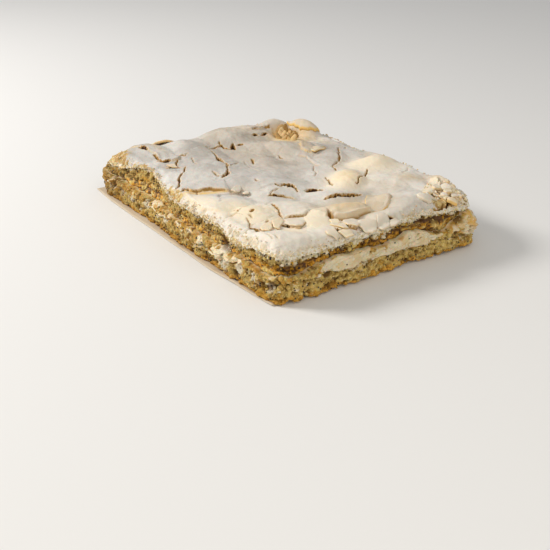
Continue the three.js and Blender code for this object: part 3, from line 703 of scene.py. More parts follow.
def cream_finish():
    """Satin cream in white and ivory patches, with crumbs stuck over parts of it, some of them soaked amber,
    and with amber spots. Syrup tints it at the bulb. The crumbs' pores and the deep holes are darkened with
    painted shade."""
    finish = Finish("cream", Specular_IOR_Level=0.4, Subsurface_Weight=0.25, Subsurface_Scale=0.003)
    tone = finish.blend(finish.mottle(7, 0.38, 0.62), CREAM_WHITE, CREAM_IVORY)
    tone = finish.blend(finish.attribute("syrup"), tone, CREAM_AMBER)
    cover = finish.attribute("cover")
    soaked = finish.mottle(5.0, 0.5, 0.6) * 0.75
    tone = finish.blend(cover, tone, finish.blend(soaked, crumb_tone(finish), STAIN_AMBER))
    tone = finish.blend(finish.attribute("stain"), tone, STAIN_AMBER)
    feed_with_pores(finish, tone, 0.85, CRUMB_PAINTED_SHADE)
    finish.feed("Roughness", 0.4 + cover * 0.45)
    finish.bump(finish.grain(1.6, detail=4), 0.25)
    return finish


cream_side, cream_pores, _, cream_loop = layer_points(
    lambda x, y: sponge_top(x, y) + LAYER_GAP + ragged(x, y, LOWER_EDGE),
    lambda x, y: cream_top(x, y) + ragged(x, y, CREAM_EDGE),
    lambda x, y, share: (0.8 + cream_sum(x, y, BULGE)) * np.sin(np.pi * share) ** 0.7,
    cream_relief,
)
cream_x, cream_y, cream_z = np.moveaxis(cream_side, -1, 0)
cream_cover = crumb_cover(cream_x, cream_y, cream_z)
cream_cover *= 1 - spotted(cream_side, cream_loop, CREAM_SPOTS)
syrup = 1.4 * bell(cream_x, cream_y, *BULB, 10) * smooth_step(cream_z, 14, 22)
syrup = np.minimum(syrup, 0.9) * patches(cream_side, 6, 46, 0.15)
# Painted shade darkens the crumbs on the cream in their hollows and in the deep holes, and more on the long
# cut face.
cream_filling = add_layer(
    "cream_smear", cream_side, cream_loop, (LOWER_SPONGE_TOP + LAYER_GAP, CREAM_TOP), cream_finish(),
    "cream", pore=np.maximum(cream_pores, painted_face_shade(cream_loop) * cream_cover), cover=cream_cover,
    syrup=syrup, stain=0.8 * spotted(cream_side, cream_loop, AMBER_SPOTS),
)
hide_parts("cream_filling")
creamed_stain = 0.5 * patches(cream_side, 5, 50, -0.1)
strew_crumbs_and_seeds(cream_side, cream_loop, creamed_stain, 1 - cream_cover, seeds=60, crumbs=900)


# Caramel band. A moist, orange-brown band between the cream and the upper sponge, full of crumbs and seeds.
# It was spread thin, and the sponge laid on it overhangs it.
CARAMEL_TOP = 23.5
CARAMEL_RECESS = 1.6
CARAMEL_AMBER = (0.70, 0.35, 0.03, 1)
# Dark brown of the band's own patches, which is also the colour of the painted shade in its hollows and
# under the overhang.
CARAMEL_BROWN_AND_SHADE = (0.09, 0.03, 0.003, 1)
# Places on the rim where the meringue hangs lower over the side, or leaves the sponge bare (negative).
RIM_SAGS = [
    (78, -86, 16, 6),
    (-56, -86, 24, -3),
    (-4, -86, 9, 2),
    (122, 30, 18, -2.5),
    (122, 78, 12, 3),
    (-98, -86, 26, 4.5),
]
# Where the band lies thicker: place, reach and rise of its top.
CARAMEL_SWELLS = [(122, -50, 14, 2.2), (122, 40, 12, 3)]
# Where crumbs hide the band on the short cut face: place and reach.
CRUMBED_END = (122, 55, 18)
END_FALL_FROM = -84.0
END_FALL_TO = -123.0
END_FALL = 4.5


def sag_sum(x, y):
    return sum(spot[3] * bell(x, y, *spot[:3]) for spot in RIM_SAGS)


def end_fall(x):
    """How far the upper layers fall towards the baked short side."""
    return END_FALL * smooth_step(x, END_FALL_FROM, END_FALL_TO)


def caramel_top(x, y):
    swell = sum(rise * bell(x, y, *place) for *place, rise in CARAMEL_SWELLS)
    free = CARAMEL_TOP + 0.6 * cream_sum(x, y, RISE) + swell + wander(x, y, 1.2, 13)
    return np.maximum(free - 0.4 * sag_sum(x, y) - 0.5 * end_fall(x), cream_top(x, y) + LEAST_LAYER)


def caramel_finish():
    """Amber to dark brown, moist, with drier beige crumb over parts of it, and painted shade in its pores
    and where the sponge overhangs it.
    """
    finish = Finish("caramel_band", Specular_IOR_Level=0.45, Subsurface_Weight=0.1, Subsurface_Scale=0.002)
    tone = finish.blend(finish.mottle(3.0, 0.46, 0.62, 5), CARAMEL_AMBER, CARAMEL_BROWN_AND_SHADE)
    cover = finish.attribute("cover")
    tone = finish.blend(cover, tone, crumb_tone(finish))
    feed_with_pores(finish, tone, 0.92, CARAMEL_BROWN_AND_SHADE)
    finish.feed("Roughness", 0.4 + finish.grain(2.2) * 0.3 + cover * 0.2)
    finish.bump(finish.grain(0.8, detail=4), 0.35)
    return finish


caramel_side, caramel_pores, caramel_share, caramel_loop = layer_points(
    lambda x, y: cream_top(x, y) + LAYER_GAP + ragged(x, y, CREAM_EDGE),
    lambda x, y: caramel_top(x, y) + ragged(x, y, CARAMEL_EDGE),
    lambda x, y, share: -CARAMEL_RECESS - 2.0 * smooth_step(x, 100, 116) + 0 * share,
    lambda x, y, z: crumb_relief(x, y, z, 53),
)
caramel_short = short_face(caramel_loop)
by_bulb = bell(*caramel_loop[:2], *CRUMBED_END)
caramel_bias = 0.1 * long_face(caramel_loop) - (0.3 - 0.8 * by_bulb) * caramel_short - 0.05
caramel_cover = patches(caramel_side, 6, 55, caramel_bias)
caramel_cover *= 1 - spotted(caramel_side, caramel_loop, AMBER_SPOTS)
# Where the sponge overhangs the band on the short cut face, it lies in shadow.
caramel_gloom = caramel_short * smooth_step(caramel_share, 0.3, 0.7)
# Painted shade darkens the band in its relief's hollows and under the overhang of the sponge on the short
# cut face.
caramel_filling = add_layer(
    "caramel_band", caramel_side, caramel_loop, (CREAM_TOP + LAYER_GAP, CARAMEL_TOP), caramel_finish(),
    "caramel", pore=np.maximum(caramel_pores, caramel_gloom), cover=caramel_cover,
)
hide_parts("caramel_filling")
no_smear = 0 * caramel_cover
strew_crumbs_and_seeds(caramel_side, caramel_loop, 1 - caramel_cover, no_smear, seeds=140, crumbs=500)


# Upper sponge. A second, thinner sheet of the same sponge, laid on the filling. The meringue was baked on
# it, and where the slab was pulled from the tray its edge is torn and rounded.
def upper_sponge_top(x, y):
    free = UPPER_SPONGE_TOP - sag_sum(x, y) - 0.7 * end_fall(x) + wander(x, y, 0.8, 14)
    return np.maximum(free, caramel_top(x, y) + LEAST_LAYER)


upper_side, upper_pores, upper_share, upper_loop = layer_points(
    lambda x, y: caramel_top(x, y) + LAYER_GAP + ragged(x, y, CARAMEL_EDGE),
    lambda x, y: upper_sponge_top(x, y) + ragged(x, y, UPPER_EDGE),
    lambda x, y, share: -0.5 * share,
    lambda x, y, z: crumb_relief(x, y, z, 61, 0.55),
)
upper_long, upper_short = long_face(upper_loop), short_face(upper_loop)
# The short cut face is painted dark at its foot as shade, the filling soaked up into both cut faces, and
# dust of meringue fell on them.
upper_gloom = 0.85 * upper_short * smooth_step(upper_share, 0.35, 0.05)
upper_pores = np.maximum(upper_pores, upper_gloom + painted_face_shade(upper_loop))
soaked = 0.1 * upper_long + 0.6 * upper_short
upper_stain = 0.9 * patches(upper_side, 5, 63, -0.5 - 0.9 * upper_share + soaked)
upper_stain = np.maximum(upper_stain, spotted(upper_side, upper_loop, AMBER_SPOTS))
dusty = -1.25 + (1.3 + 0.5 * upper_long) * upper_share**2 + 1.25 * upper_short
upper_dust = 0.85 * patches(upper_side, 3.5, 64, dusty)
# Painted shade darkens this crumb in its relief's hollows, at the foot of the short cut face and over the
# whole long cut face.
upper_sponge = add_layer(
    "upper_sponge_crumb", upper_side, upper_loop, (CARAMEL_TOP + LAYER_GAP, UPPER_SPONGE_TOP),
    crumb_finish("fine_crumb", 0.5), "sponge", pore=upper_pores, crusty=0 * upper_pores, stain=upper_stain,
    smear=upper_dust,
)
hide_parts("upper_sponge")
strew_crumbs_and_seeds(upper_side, upper_loop, upper_stain, upper_dust, seeds=340, crumbs=1300)


# Seeds and crumbs. Whole poppy seeds were stirred into the batter, and show where the crumb is open. The cut
# tore crumbs of sponge loose, which cling to the sides of all the layers.
SEED_BLACK = (0.012, 0.012, 0.016, 1)
SEED_GREY = (0.06, 0.065, 0.085, 1)
# Radii of the longest axis of the smallest and the largest seed.
SEED_RADII = (0.44, 0.66)


def octa_ball():
    """A ball of 32 triangles: an octahedron with each face split in four, all corners on the unit sphere."""
    corners = np.array([[1, 0, 0], [-1, 0, 0], [0, 1, 0], [0, -1, 0], [0, 0, 1], [0, 0, -1]], float)
    signs = [(a, b, c) for a in (0, 1) for b in (2, 3) for c in (4, 5)]
    points = list(corners)
    index = {}

    def middle(p, q):
        key = (min(p, q), max(p, q))
        if key not in index:
            half = corners[p] + corners[q]
            points.append(half / np.linalg.norm(half))
            index[key] = len(points) - 1
        return index[key]

    faces = []
    for a, b, c in signs:
        if np.linalg.det(corners[[a, b, c]]) < 0:
            b, c = c, b
        ab, bc, ca = middle(a, b), middle(b, c), middle(c, a)
        faces += [(a, ab, ca), (ab, b, bc), (ca, bc, c), (ab, bc, ca)]
    return np.array(points), np.array(faces)


BALL_POINTS, BALL_FACES = octa_ball()


def scattered_balls(centres, sizes, flat, jagged, rng):
    """One mesh of many uneven balls: the unit ball stretched on its own three axes, its corners moved in or
    out by jagged, turned by a random quaternion and set at each centre."""
    count = len(centres)
    stretch = np.stack([np.ones(count), rng.uniform(0.75, 1, count), rng.uniform(flat, 1, count)], -1)
    grow = 1 + jagged * rng.uniform(-1, 1, (count, len(BALL_POINTS), 1))
    local = BALL_POINTS[None] * grow * stretch[:, None] * np.reshape(sizes, (count, 1, 1))
    spin = rng.normal(size=(count, 4))
    w, x, y, z = (spin / np.linalg.norm(spin, axis=1, keepdims=True)).T
    turn = np.stack([
        np.stack([1 - 2 * (y * y + z * z), 2 * (x * y - z * w), 2 * (x * z + y * w)], -1),
        np.stack([2 * (x * y + z * w), 1 - 2 * (x * x + z * z), 2 * (y * z - x * w)], -1),
        np.stack([2 * (x * z - y * w), 2 * (y * z + x * w), 1 - 2 * (x * x + y * y)], -1),
    ], 1)
    points = np.einsum("nij,nkj->nki", turn, local) + centres[:, None]
    faces = BALL_FACES[None] + (np.arange(count) * len(BALL_POINTS))[:, None, None]
    return points.reshape(-1, 3), [faces.reshape(-1, 3)]


def seed_finish():
    """Poppy seeds: near black with a blue-grey bloom on some."""
    finish = Finish("poppy_seed", Roughness=0.55, Specular_IOR_Level=0.4)
    finish.feed("Base Color", finish.blend(finish.mottle(1.6, 0.5, 0.75, 3), SEED_BLACK, SEED_GREY))
    finish.bump(finish.grain(0.25), 0.05)
    return finish


def lump_finish():
    """Loose crumbs, of the same colours as the cut face, some stained amber or smeared with cream."""
    finish = Finish("loose_crumb", **CRUMB_BODY)
    tone = finish.blend(finish.attribute("stain"), crumb_tone(finish), STAIN_AMBER)
    finish.feed("Base Color", finish.blend(finish.attribute("smear"), tone, CREAM_SMEAR))
    finish.bump(finish.grain(0.6, detail=4), 0.25)
    return finish


seed_centres = np.concatenate(seeds_placed)
seed_rng = np.random.default_rng(11)
seed_sizes = seed_rng.uniform(*SEED_RADII, len(seed_centres))
seeds = scattered_balls(seed_centres, seed_sizes, 0.7, 0.1, seed_rng)
add_piece("poppy_seeds", *seeds, seed_finish(), "sponge")
crumb_centres, crumb_sizes, *crumb_numbers = (np.concatenate(parts) for parts in zip(*crumbs_placed))
crumbs = scattered_balls(crumb_centres, crumb_sizes, 0.55, 0.3, seed_rng)
crumb_stain, crumb_smear = (np.repeat(numbers, len(BALL_POINTS)) for numbers in crumb_numbers)
add_piece("torn_crumbs", *crumbs, lump_finish(), "sponge", stain=crumb_stain, smear=crumb_smear)


# Meringue. Beaten egg white and sugar, spread in spoonfuls over the upper sponge and baked dry: a thin
# chalky shell over pillows, which cracked as it cooled and broke into plates where the slab was cut.
MERINGUE_TOP = 35.5
MERINGUE_OVERHANG = 1.4
EDGE_ROLL = 9.0
EDGE_DROP = 4.0
CUT_EDGE_DROP = 1.8
PILLOW_SOFTNESS = 0.9
MERINGUE_CELL = 0.71
THINNEST_SHELL = 0.8
# The size of the plates that the shell is broken into, and the height of the lobes that it rolls in.
SHELL_PLATE = 25
LOBE_RISE = 3.6
# Rows of points down the meringue's side, and how much lower it hangs over the short cut face.
RIM_ROWS = 9
SHORT_FACE_DROOP = 1.6
# Where the side was torn back along the long cut face: place along it, half-length and strength.
TORN_BACK = [(-60, 22, 1.0), (-113, 18, 1.1)]
# Pillows: centre, half-lengths along and across, turn in degrees, and rise.
PILLOWS = [
    (-88, 14, 42, 28, 86, 8),
    (-87, 52, 18, 12, 70, 9.5),
    (-68, 71, 17, 10, 14, 8.5),
    (-44, 20, 27, 18, 35, 4),
    (-25, 47, 17, 13, 0, 3.5),
    (5, 42, 20, 12, -40, 3.5),
    (29, 62, 20, 16, 80, 4.5),
    (50, 23, 20, 14, -52, 6),
    (-18, 1, 16, 12, 0, 3),
    (-94, -64, 32, 22, 14, 4.5),
    (-84, -38, 24, 19, 60, 3.5),
    (-30, -46, 28, 15, 15, 3),
    (74, 50, 30, 24, -50, 4),
    (104, -72, 21, 13, 62, 4),
    (34, -76, 26, 11, 8, 1.5),
    (68, -36, 20, 13, 50, 4.5),
    (88, -12, 24, 9, 78, 5),
    (95, 14, 12, 10, 40, 4),
    (106, 34, 34, 13, -62, 4),
    (97, -42, 14, 10, 60, 2.5),
    (62, -62, 16, 10, 20, 2.5),
    (20, -30, 26, 14, 30, 2),
    (-112, 32, 22, 13, 90, 4),
    (90, 78, 18, 9, -10, 4.5),
    (16, 80, 12, 8, 0, 2.5),
]
# Hollows: centre, half-lengths along x and y, and depth.
HOLLOWS = [
    (-30, 80, 36, 17, 3),
    (-120, -14, 12, 9, 2.5),
    (116, 84, 14, 10, 3),
    (18, -2, 16, 10, 1),
]


def depth_inside(x, y):
    """Distance of a plan point inside the slab's edge."""
    r = corner_radius(x, y)
    qx, qy = np.abs(x) - (LENGTH / 2 - r), np.abs(y) - (WIDTH / 2 - r)
    return r - np.hypot(np.maximum(qx, 0), np.maximum(qy, 0)) - np.minimum(np.maximum(qx, qy), 0)


def turned_axes(turn):
    """The cosine and sine of a turn in degrees."""
    return np.cos(np.radians(turn)), np.sin(np.radians(turn))


def round_square(x, y, px, py, along, across, turn=0):
    """Square of the distance from a centre, in half-lengths along and across a line turned by degrees."""
    c, s = turned_axes(turn)
    a = ((x - px) * c + (y - py) * s) / along
    b = ((y - py) * c - (x - px) * s) / across
    return a * a + b * b


def pillow_rise(x, y):
    """A soft maximum of level ground and every pillow, each a bowl turned over, less the hollows."""
    total = np.ones(np.shape(x))
    for *place, rise in PILLOWS:
        total += np.exp(rise * (1 - np.minimum(round_square(x, y, *place), 3)) / PILLOW_SOFTNESS)
    sunk = sum(depth * np.exp(-round_square(x, y, *place)) for *place, depth in HOLLOWS)
    return PILLOW_SOFTNESS * np.log(total) - sunk


def meringue_base(x, y):
    """The meringue before it cracked: pillows on a level that falls at the baked end and rolls down at the
    rim."""
    inside = np.clip(depth_inside(x, y) / EDGE_ROLL, 0, 1)
    drop = EDGE_DROP + CUT_EDGE_DROP * smooth_step(x / LENGTH - y / WIDTH, -0.1, 0.3)
    roll = drop * (1 - np.sqrt(1 - (1 - inside) ** 2))
    free = MERINGUE_TOP + pillow_rise(x, y) + wander(x, y, 1.2, 15) - roll - end_fall(x)
    return np.maximum(free, upper_sponge_top(x, y) + LAYER_GAP + LEAST_LAYER)


# Where a plate of crust stands over the next one: the plate's broken edge, which leads from left to right as
# seen from the low side, then its rise, how far back it lifts, the width of the broken face, how golden that
# face is, and how dark the slit at its foot is painted as shade.
LEDGES = [
    ([(-110, -70), (-103, -67), (-95, -65), (-87, -66), (-81, -64), (-75, -63), (-69, -64), (-64, -63)],
     0.9, 12, 0.4, 0.45, 0.2),
    ([(-65, -64), (-62, -62), (-62, -59), (-60, -56), (-62, -51), (-66, -46)], 1.1, 8, 0.4, 0.6, 0.3),
    ([(-51, -69), (-49, -66), (-49, -63), (-46, -61)], 0.9, 5, 0.4, 0.8, 0.8),
    ([(0, -84), (-2, -81), (2, -77), (4, -74), (6, -69), (7, -64), (11, -60), (15, -56), (15, -51)],
     1.5, 11, 0.9, 1.0, 0.35),
    ([(-36, 44), (-29, 39), (-23, 36), (-16, 36), (-12, 40)], 1.4, 9, 0.5, 0.8, 0.3),
    ([(-17, 39), (-14, 44), (-15, 49), (-15, 54)], 1.6, 6, 0.7, 1.0, 0.5),
    ([(-83, 24), (-81, 30), (-81, 36), (-83, 42), (-81, 48)], 1.0, 9, 0.4, 0.6, 0.2),
    ([(40, -40), (45, -35), (47, -31), (49, -27), (53, -24)], 0.9, 6, 0.4, 0.8, 0.6),
    ([(66, -13), (69, -8), (69, -5), (71, -2), (73, 2), (75, 6), (76, 13)], 1.3, 9, 0.8, 1.0, 0.4),
    ([(95, -29), (98, -25), (101, -20), (101, -14), (100, -8), (100, -2), (101, 4)], 4.4, 15, 2.0, 0.4, 0.7),
    ([(101, 3), (103, 8), (102, 14), (97, 20), (90, 26)], 1.0, 12, 0.5, 0.6, 0.3),
    ([(76, -53), (79, -47), (81, -43), (82, -38), (82, -32)], 1.2, 9, 0.5, 0.7, 0.15),
    ([(85, -60), (89, -58), (93, -57), (97, -54), (96, -50), (94, -46)], 1.1, 6, 0.4, 0.7, 0.12),
    ([(88, -25), (93, -27), (98, -29), (105, -33)], 1.1, 7, 0.6, 0.9, 0.5),
    ([(103, -28), (109, -27), (114, -28), (116, -25), (116, -20)], 1.3, 6, 0.5, 0.8, 0.7),
    ([(110, -21), (113, -14), (116, -8), (119, -9)], 0.9, 4, 0.4, 0.5, 0.5),
    ([(113, 0), (116, 2), (118, 4), (119, 8)], 1.0, 5, 0.4, 0.6, 0.8),
    ([(-80, -87), (-75, -87), (-73, -84)], 0.8, 4, 0.4, 0.9, 0.4),
    ([(0, -80), (12, -85), (24, -86), (36, -87), (44, -84), (52, -78)], 0.7, 6, 1.4, 0.25, 0.1),
    ([(-16, 24), (-15, 28), (-11, 32), (-2, 29), (8, 26), (16, 26)], 0.7, 9, 0.6, 0.35, 0.4),
    ([(86, 66), (97, 53), (112, 39)], 1.4, 8, 0.6, 0.3, 0.5),
    ([(60, -58), (67, -51), (73, -52), (76, -54)], 0.6, 7, 0.4, 0.2, 0.3),
]
# Cracks: the route, the width at its middle, the depth, and how dark it is inside, from the brown of broken
# crust to near black painted shade.
CRACKS = [
    ([(-94, -67), (-90, -66), (-84, -65)], 2.6, 3.4, 1.0),
    ([(-76, -64), (-70, -64), (-65, -63)], 1.1, 2.5, 0.7),
    ([(-66, -65), (-62, -62), (-62, -57)], 2.0, 3, 0.9),
    ([(-61, -52), (-55, -56), (-50, -59), (-43, -60)], 1.2, 2.5, 0.8),
    ([(-50, -64), (-48, -61)], 2.6, 3.5, 1.0),
    ([(0, -83), (-2, -80), (1, -78)], 1.6, 3, 0.8),
    ([(3, -76), (5, -73), (6, -69), (7, -64), (11, -60), (14, -57)], 1.0, 1.4, 0.55),
    ([(5, -74), (9, -76), (12, -79)], 1.0, 2, 0.6),
    ([(-81, 29), (-82, 34), (-84, 40), (-82, 46)], 1.2, 2.4, 0.65),
    ([(-73, 24), (-72, 28)], 4.5, 4, 1.0),
    ([(-71, 30), (-73, 35), (-73, 39)], 5.0, 4, 1.0),
    ([(-96, 42), (-92, 40), (-88, 40)], 1.3, 2, 0.5),
    ([(43, -39), (45, -35), (47, -31)], 2.0, 3, 1.0),
    ([(43, -39), (40, -35), (38, -32), (37, -28)], 1.1, 2.4, 0.6),
    ([(32, -26), (34, -24), (33, -21), (35, -19), (37, -18), (35, -16), (38, -15), (43, -17)], 4.2, 4, 1.0),
    ([(45, -11), (47, -8), (49, -5), (52, -2)], 14, 5, 1.0),
    ([(68, -11), (69, -8), (70, -5), (71, -2), (73, 3), (75, 9), (76, 13)], 3.4, 4.5, 0.9),
    ([(88, -25), (92, -27), (97, -29), (104, -33)], 3.8, 3.4, 0.65),
    ([(78, -51), (79, -48), (81, -44), (82, -40)], 1.0, 2.4, 0.6),
    ([(82, -40), (81, -35), (81, -30), (84, -27)], 0.8, 1.5, 0.35),
    ([(86, -58), (89, -58), (92, -58)], 8.0, 4.5, 1.0),
    ([(92, -58), (95, -55), (98, -54), (96, -49)], 0.7, 1.2, 0.3),
    ([(58, -48), (65, -49), (69, -50), (73, -52), (76, -53)], 0.9, 2.4, 0.7),
    ([(76, -53), (78, -57), (80, -62)], 1.0, 2, 0.6),
    ([(85, -75), (81, -69), (77, -64)], 1.1, 2.5, 0.8),
    ([(80, -79), (82, -78), (86, -77), (90, -80)], 3.6, 4.5, 1.0),
    ([(67, -73), (74, -75), (79, -77)], 0.9, 1.8, 0.45),
    ([(65, -70), (69, -70)], 0.8, 1.5, 0.4),
    ([(64, -68), (62, -64)], 0.7, 1.5, 0.7),
    ([(58, -80), (56, -76), (55, -72), (54, -68)], 1.3, 1.6, 0.35),
    ([(54, -68), (53, -64), (52, -60)], 0.8, 1.4, 0.35),
    ([(55, -73), (51, -74)], 1.6, 2.5, 0.7),
    ([(100, -80), (104, -81), (107, -81)], 0.8, 1.4, 0.3),
    ([(106, -78), (109, -78)], 0.8, 1.4, 0.3),
    ([(104, -27), (109, -26), (114, -27)], 1.8, 3, 0.7),
    ([(112, -37), (115, -37), (118, -35)], 5.0, 4.5, 0.95),
    ([(117, -7), (120, -11), (124, -14)], 1.2, 2.5, 0.7),
    ([(115, 1), (118, 3), (120, 6)], 2.0, 4, 1.0),
    ([(-17, 68), (-3, 56), (9, 47), (12, 45), (16, 39), (21, 31)], 1.2, 2.0, 0.55),
    ([(21, 31), (26, 30), (31, 27)], 1.1, 2.2, 0.6),
    ([(41, 48), (51, 37), (58, 26), (63, 20)], 1.3, 3, 0.9),
    ([(36, 14), (45, 10), (53, 7)], 1.0, 1.8, 0.6),
    ([(8, 24), (17, 17), (25, 14), (30, 9)], 0.9, 1.4, 0.4),
    ([(-72, -22), (-68, -20), (-66, -19), (-68, -15), (-69, -11)], 1.6, 3.2, 0.75),
    ([(-67, -20), (-66, -18)], 2.4, 4, 1.0),
    ([(-69, -12), (-67, -9), (-64, -9), (-61, -8), (-58, -5)], 2.0, 4, 1.0),
    ([(-69, -10), (-73, -8)], 1.0, 2, 0.6),
    ([(-64, -21), (-53, -24), (-45, -27)], 1.2, 2.6, 0.7),
    ([(-46, -27), (-38, -29), (-31, -31), (-24, -32), (-18, -34)], 6.5, 5.5, 1.0),
    ([(-19, -34), (-12, -37), (-7, -41)], 1.2, 3, 0.8),
    ([(-11, -38), (-6, -42), (-4, -48)], 5.5, 5, 1.0),
    ([(-5, -47), (-9, -49), (-14, -50)], 1.3, 1.8, 0.45),
    ([(-19, -31), (-24, -24), (-29, -18)], 0.8, 1.5, 0.4),
    ([(-64, -1), (-56, -4)], 4.5, 4, 1.0),
    ([(-60, 1), (-59, 6)], 5.0, 4, 1.0),
    ([(-29, -6), (-19, -10)], 1.0, 2, 0.75),
    ([(-26, 16), (-19, 17)], 0.9, 1.5, 0.5),
    ([(16, -33), (21, -34)], 1.1, 2, 0.6),
    ([(-39, -58), (-33, -62), (-26, -67)], 1.5, 3, 0.7),
    ([(-29, -65), (-22, -71), (-16, -76)], 2.2, 4.5, 0.9),
    ([(-16, -76), (-11, -79), (-8, -84)], 1.2, 2.4, 0.7),
    ([(-54, -43), (-38, -51), (-32, -53)], 0.9, 1.4, 0.4),
    ([(-67, -48), (-66, -45), (-63, -45), (-65, -41)], 1.3, 2.4, 0.7),
    ([(-97, 20), (-92, 6), (-94, -8)], 0.7, 1.0, 0.35),
    ([(-106, 62), (-98, 54), (-97, 44)], 0.8, 1.4, 0.4),
    ([(-20, 76), (-8, 68), (2, 72)], 0.8, 1.4, 0.4),
    ([(52, 78), (58, 70), (60, 60)], 0.7, 1.2, 0.3),
    ([(-30, -12), (-14, -18), (-2, -16)], 0.7, 0.9, 0.25),
    ([(103, 50), (97, 57), (92, 65)], 1.6, 2.5, 0.6),
    ([(103, 55), (102, 61), (98, 67)], 3.4, 3.5, 0.85),
    ([(112, 56), (109, 62), (108, 70)], 2.6, 3, 0.8),
    ([(122, 50), (118, 54), (115, 62)], 4.0, 3.5, 0.95),
    ([(122, 36), (121, 43), (119, 50)], 2.2, 2.5, 0.75),
]
# Where the crust sank and crumpled: centre, half-lengths along and across, turn in degrees, and depth.
CRUMPLED = [(-69, 53, 12, 9, 35, 4.5), (-9, -88, 7, 4, 0, 1.5), (106, 62, 10, 13, 0, 2.2)]
# Where sponge crumbs lie over the crust: centre, half-lengths along and across, turn and strength.
CRUMBED = [
    (-64, -86, 16, 4, 0, 0.6),
    (-5, -87, 13, 6, 0, 1.0),
    (118, 52, 6, 9, 20, 0.8),
    (120, 76, 7, 9, 0, 0.5),
    (-112, -84, 18, 9, 0, 1.2),
    (-92, -87, 18, 4, -8, 0.6),
]
# Where the shell is greyer: place and reach.
DULLED = [(-35, 0, 70), (-104, -66, 34), (88, 0, 28)]
# Places that the oven toasted tan, and places that stayed creamy, in the same way.
TOASTED = [
    (-86, 20, 16, 40, 4, 0.22),
    (-60, 62, 26, 10, 20, 0.55),
    (-26, 40, 18, 6, 0, 0.3),
    (24, 74, 16, 7, 0, 0.4),
    (72, 62, 12, 16, -20, 0.4),
    (50, 24, 14, 10, -50, 0.28),
    (76, 40, 24, 16, -60, 0.2),
    (90, -8, 24, 13, 80, 0.5),
    (94, 14, 11, 9, 0, 0.35),
    (-45, 20, 55, 45, 0, 0.16),
    (-117, -80, 10, 14, 0, 0.5),
    (9.5, -68, 17, 3.2, 66, 1.0),
    (-60, 49, 17, 12, 35, 1.0),
    (-92, -58, 18, 5, 0, 0.3),
    (88, 78, 20, 7, -8, 0.4),
]
CREAMY = [
    (58, -66, 26, 16, 20, 1.0),
    (97, -42, 12, 11, 30, 1.0),
    (100, -60, 12, 9, 40, 0.8),
    (30, -78, 30, 9, 5, 0.7),
    (80, -52, 16, 9, 60, 0.5),
    (50, 22, 22, 16, -50, 1.0),
    (110, 60, 14, 18, 0, 0.8),
    (66, -34, 14, 9, 50, 0.4),
    (34, 56, 24, 18, 60, 0.9),
    (104, -76, 16, 10, 60, 0.4),
    (112, -20, 8, 22, 0, 0.5),
]


def before_push(places):
    """The plan places at the rim's height that the pushes move to the given ones, found in three rounds."""
    wanted = np.asarray(places, float)
    found = wanted
    for _ in range(3):
        rim = np.concatenate([found, np.full((*found.shape[:-1], 1), UPPER_SPONGE_TOP)], -1)
        found = wanted - (pushed(rim)[..., :2] - found)
    return found


def beside_route(x, y, route):
    """For each point: its distance to a route of straight legs, the share of the route's length at the
    nearest place, and 1 on the route's left or -1 on its right."""
    route = np.array(route, float)
    legs = np.hypot(*np.diff(route, axis=0).T)
    nearest, share, side = np.full(x.shape, 1e9), np.zeros(x.shape), np.ones(x.shape)
    gone = 0.0
    for (ax, ay), (bx, by), leg in zip(route[:-1], route[1:], legs):
        dx, dy = (bx - ax) / leg, (by - ay) / leg
        along = np.clip((x - ax) * dx + (y - ay) * dy, 0, leg)
        off_x, off_y = x - ax - along * dx, y - ay - along * dy
        distance = np.hypot(off_x, off_y)
        closer = distance < nearest
        nearest = np.where(closer, distance, nearest)
        share = np.where(closer, (gone + along) / legs.sum(), share)
        side = np.where(closer, np.where(dx * off_y - dy * off_x < 0, -1.0, 1.0), side)
        gone += leg
    return nearest, share, side


def plates(x, y, size, seed):
    """Tilted plates of crust. Points are scattered one to each cell of a grid, and each place belongs to the
    nearest, whose step and slope it takes. Returns that height and the distance to the plate's border."""
    x, y = x / size, y / size
    i, j = np.floor(x), np.floor(y)
    first, second, height = np.full(x.shape, 9.0), np.full(x.shape, 9.0), np.zeros(x.shape)
    for a in (-1, 0, 1):
        for b in (-1, 0, 1):
            at_x, at_y, slope_x, slope_y, step = (scatter(i + a, j + b, n, seed) for n in range(5))
            dx, dy = x - (i + a) - 0.1 - 0.8 * at_x, y - (j + b) - 0.1 - 0.8 * at_y
            distance = np.hypot(dx, dy)
            closer = distance < first
            second = np.where(closer, first, np.minimum(second, distance))
            tilt = 3.2 * ((slope_x - 0.5) * dx + (slope_y - 0.5) * dy)
            height = np.where(closer, tilt + 0.9 * (step - 0.5), height)
            first = np.where(closer, distance, first)
    return height, 0.5 * size * (second - first)


def near_route(x, y, route, margin):
    """Which places lie within a margin of the box round a route."""
    low, high = np.min(route, axis=0) - margin, np.max(route, axis=0) + margin
    return (x > low[0]) & (x < high[0]) & (y > low[1]) & (y < high[1])


def raise_to(number, value, near=...):
    """Raises a number to at least the value, at the places near or everywhere."""
    number[near] = np.maximum(number[near], value)


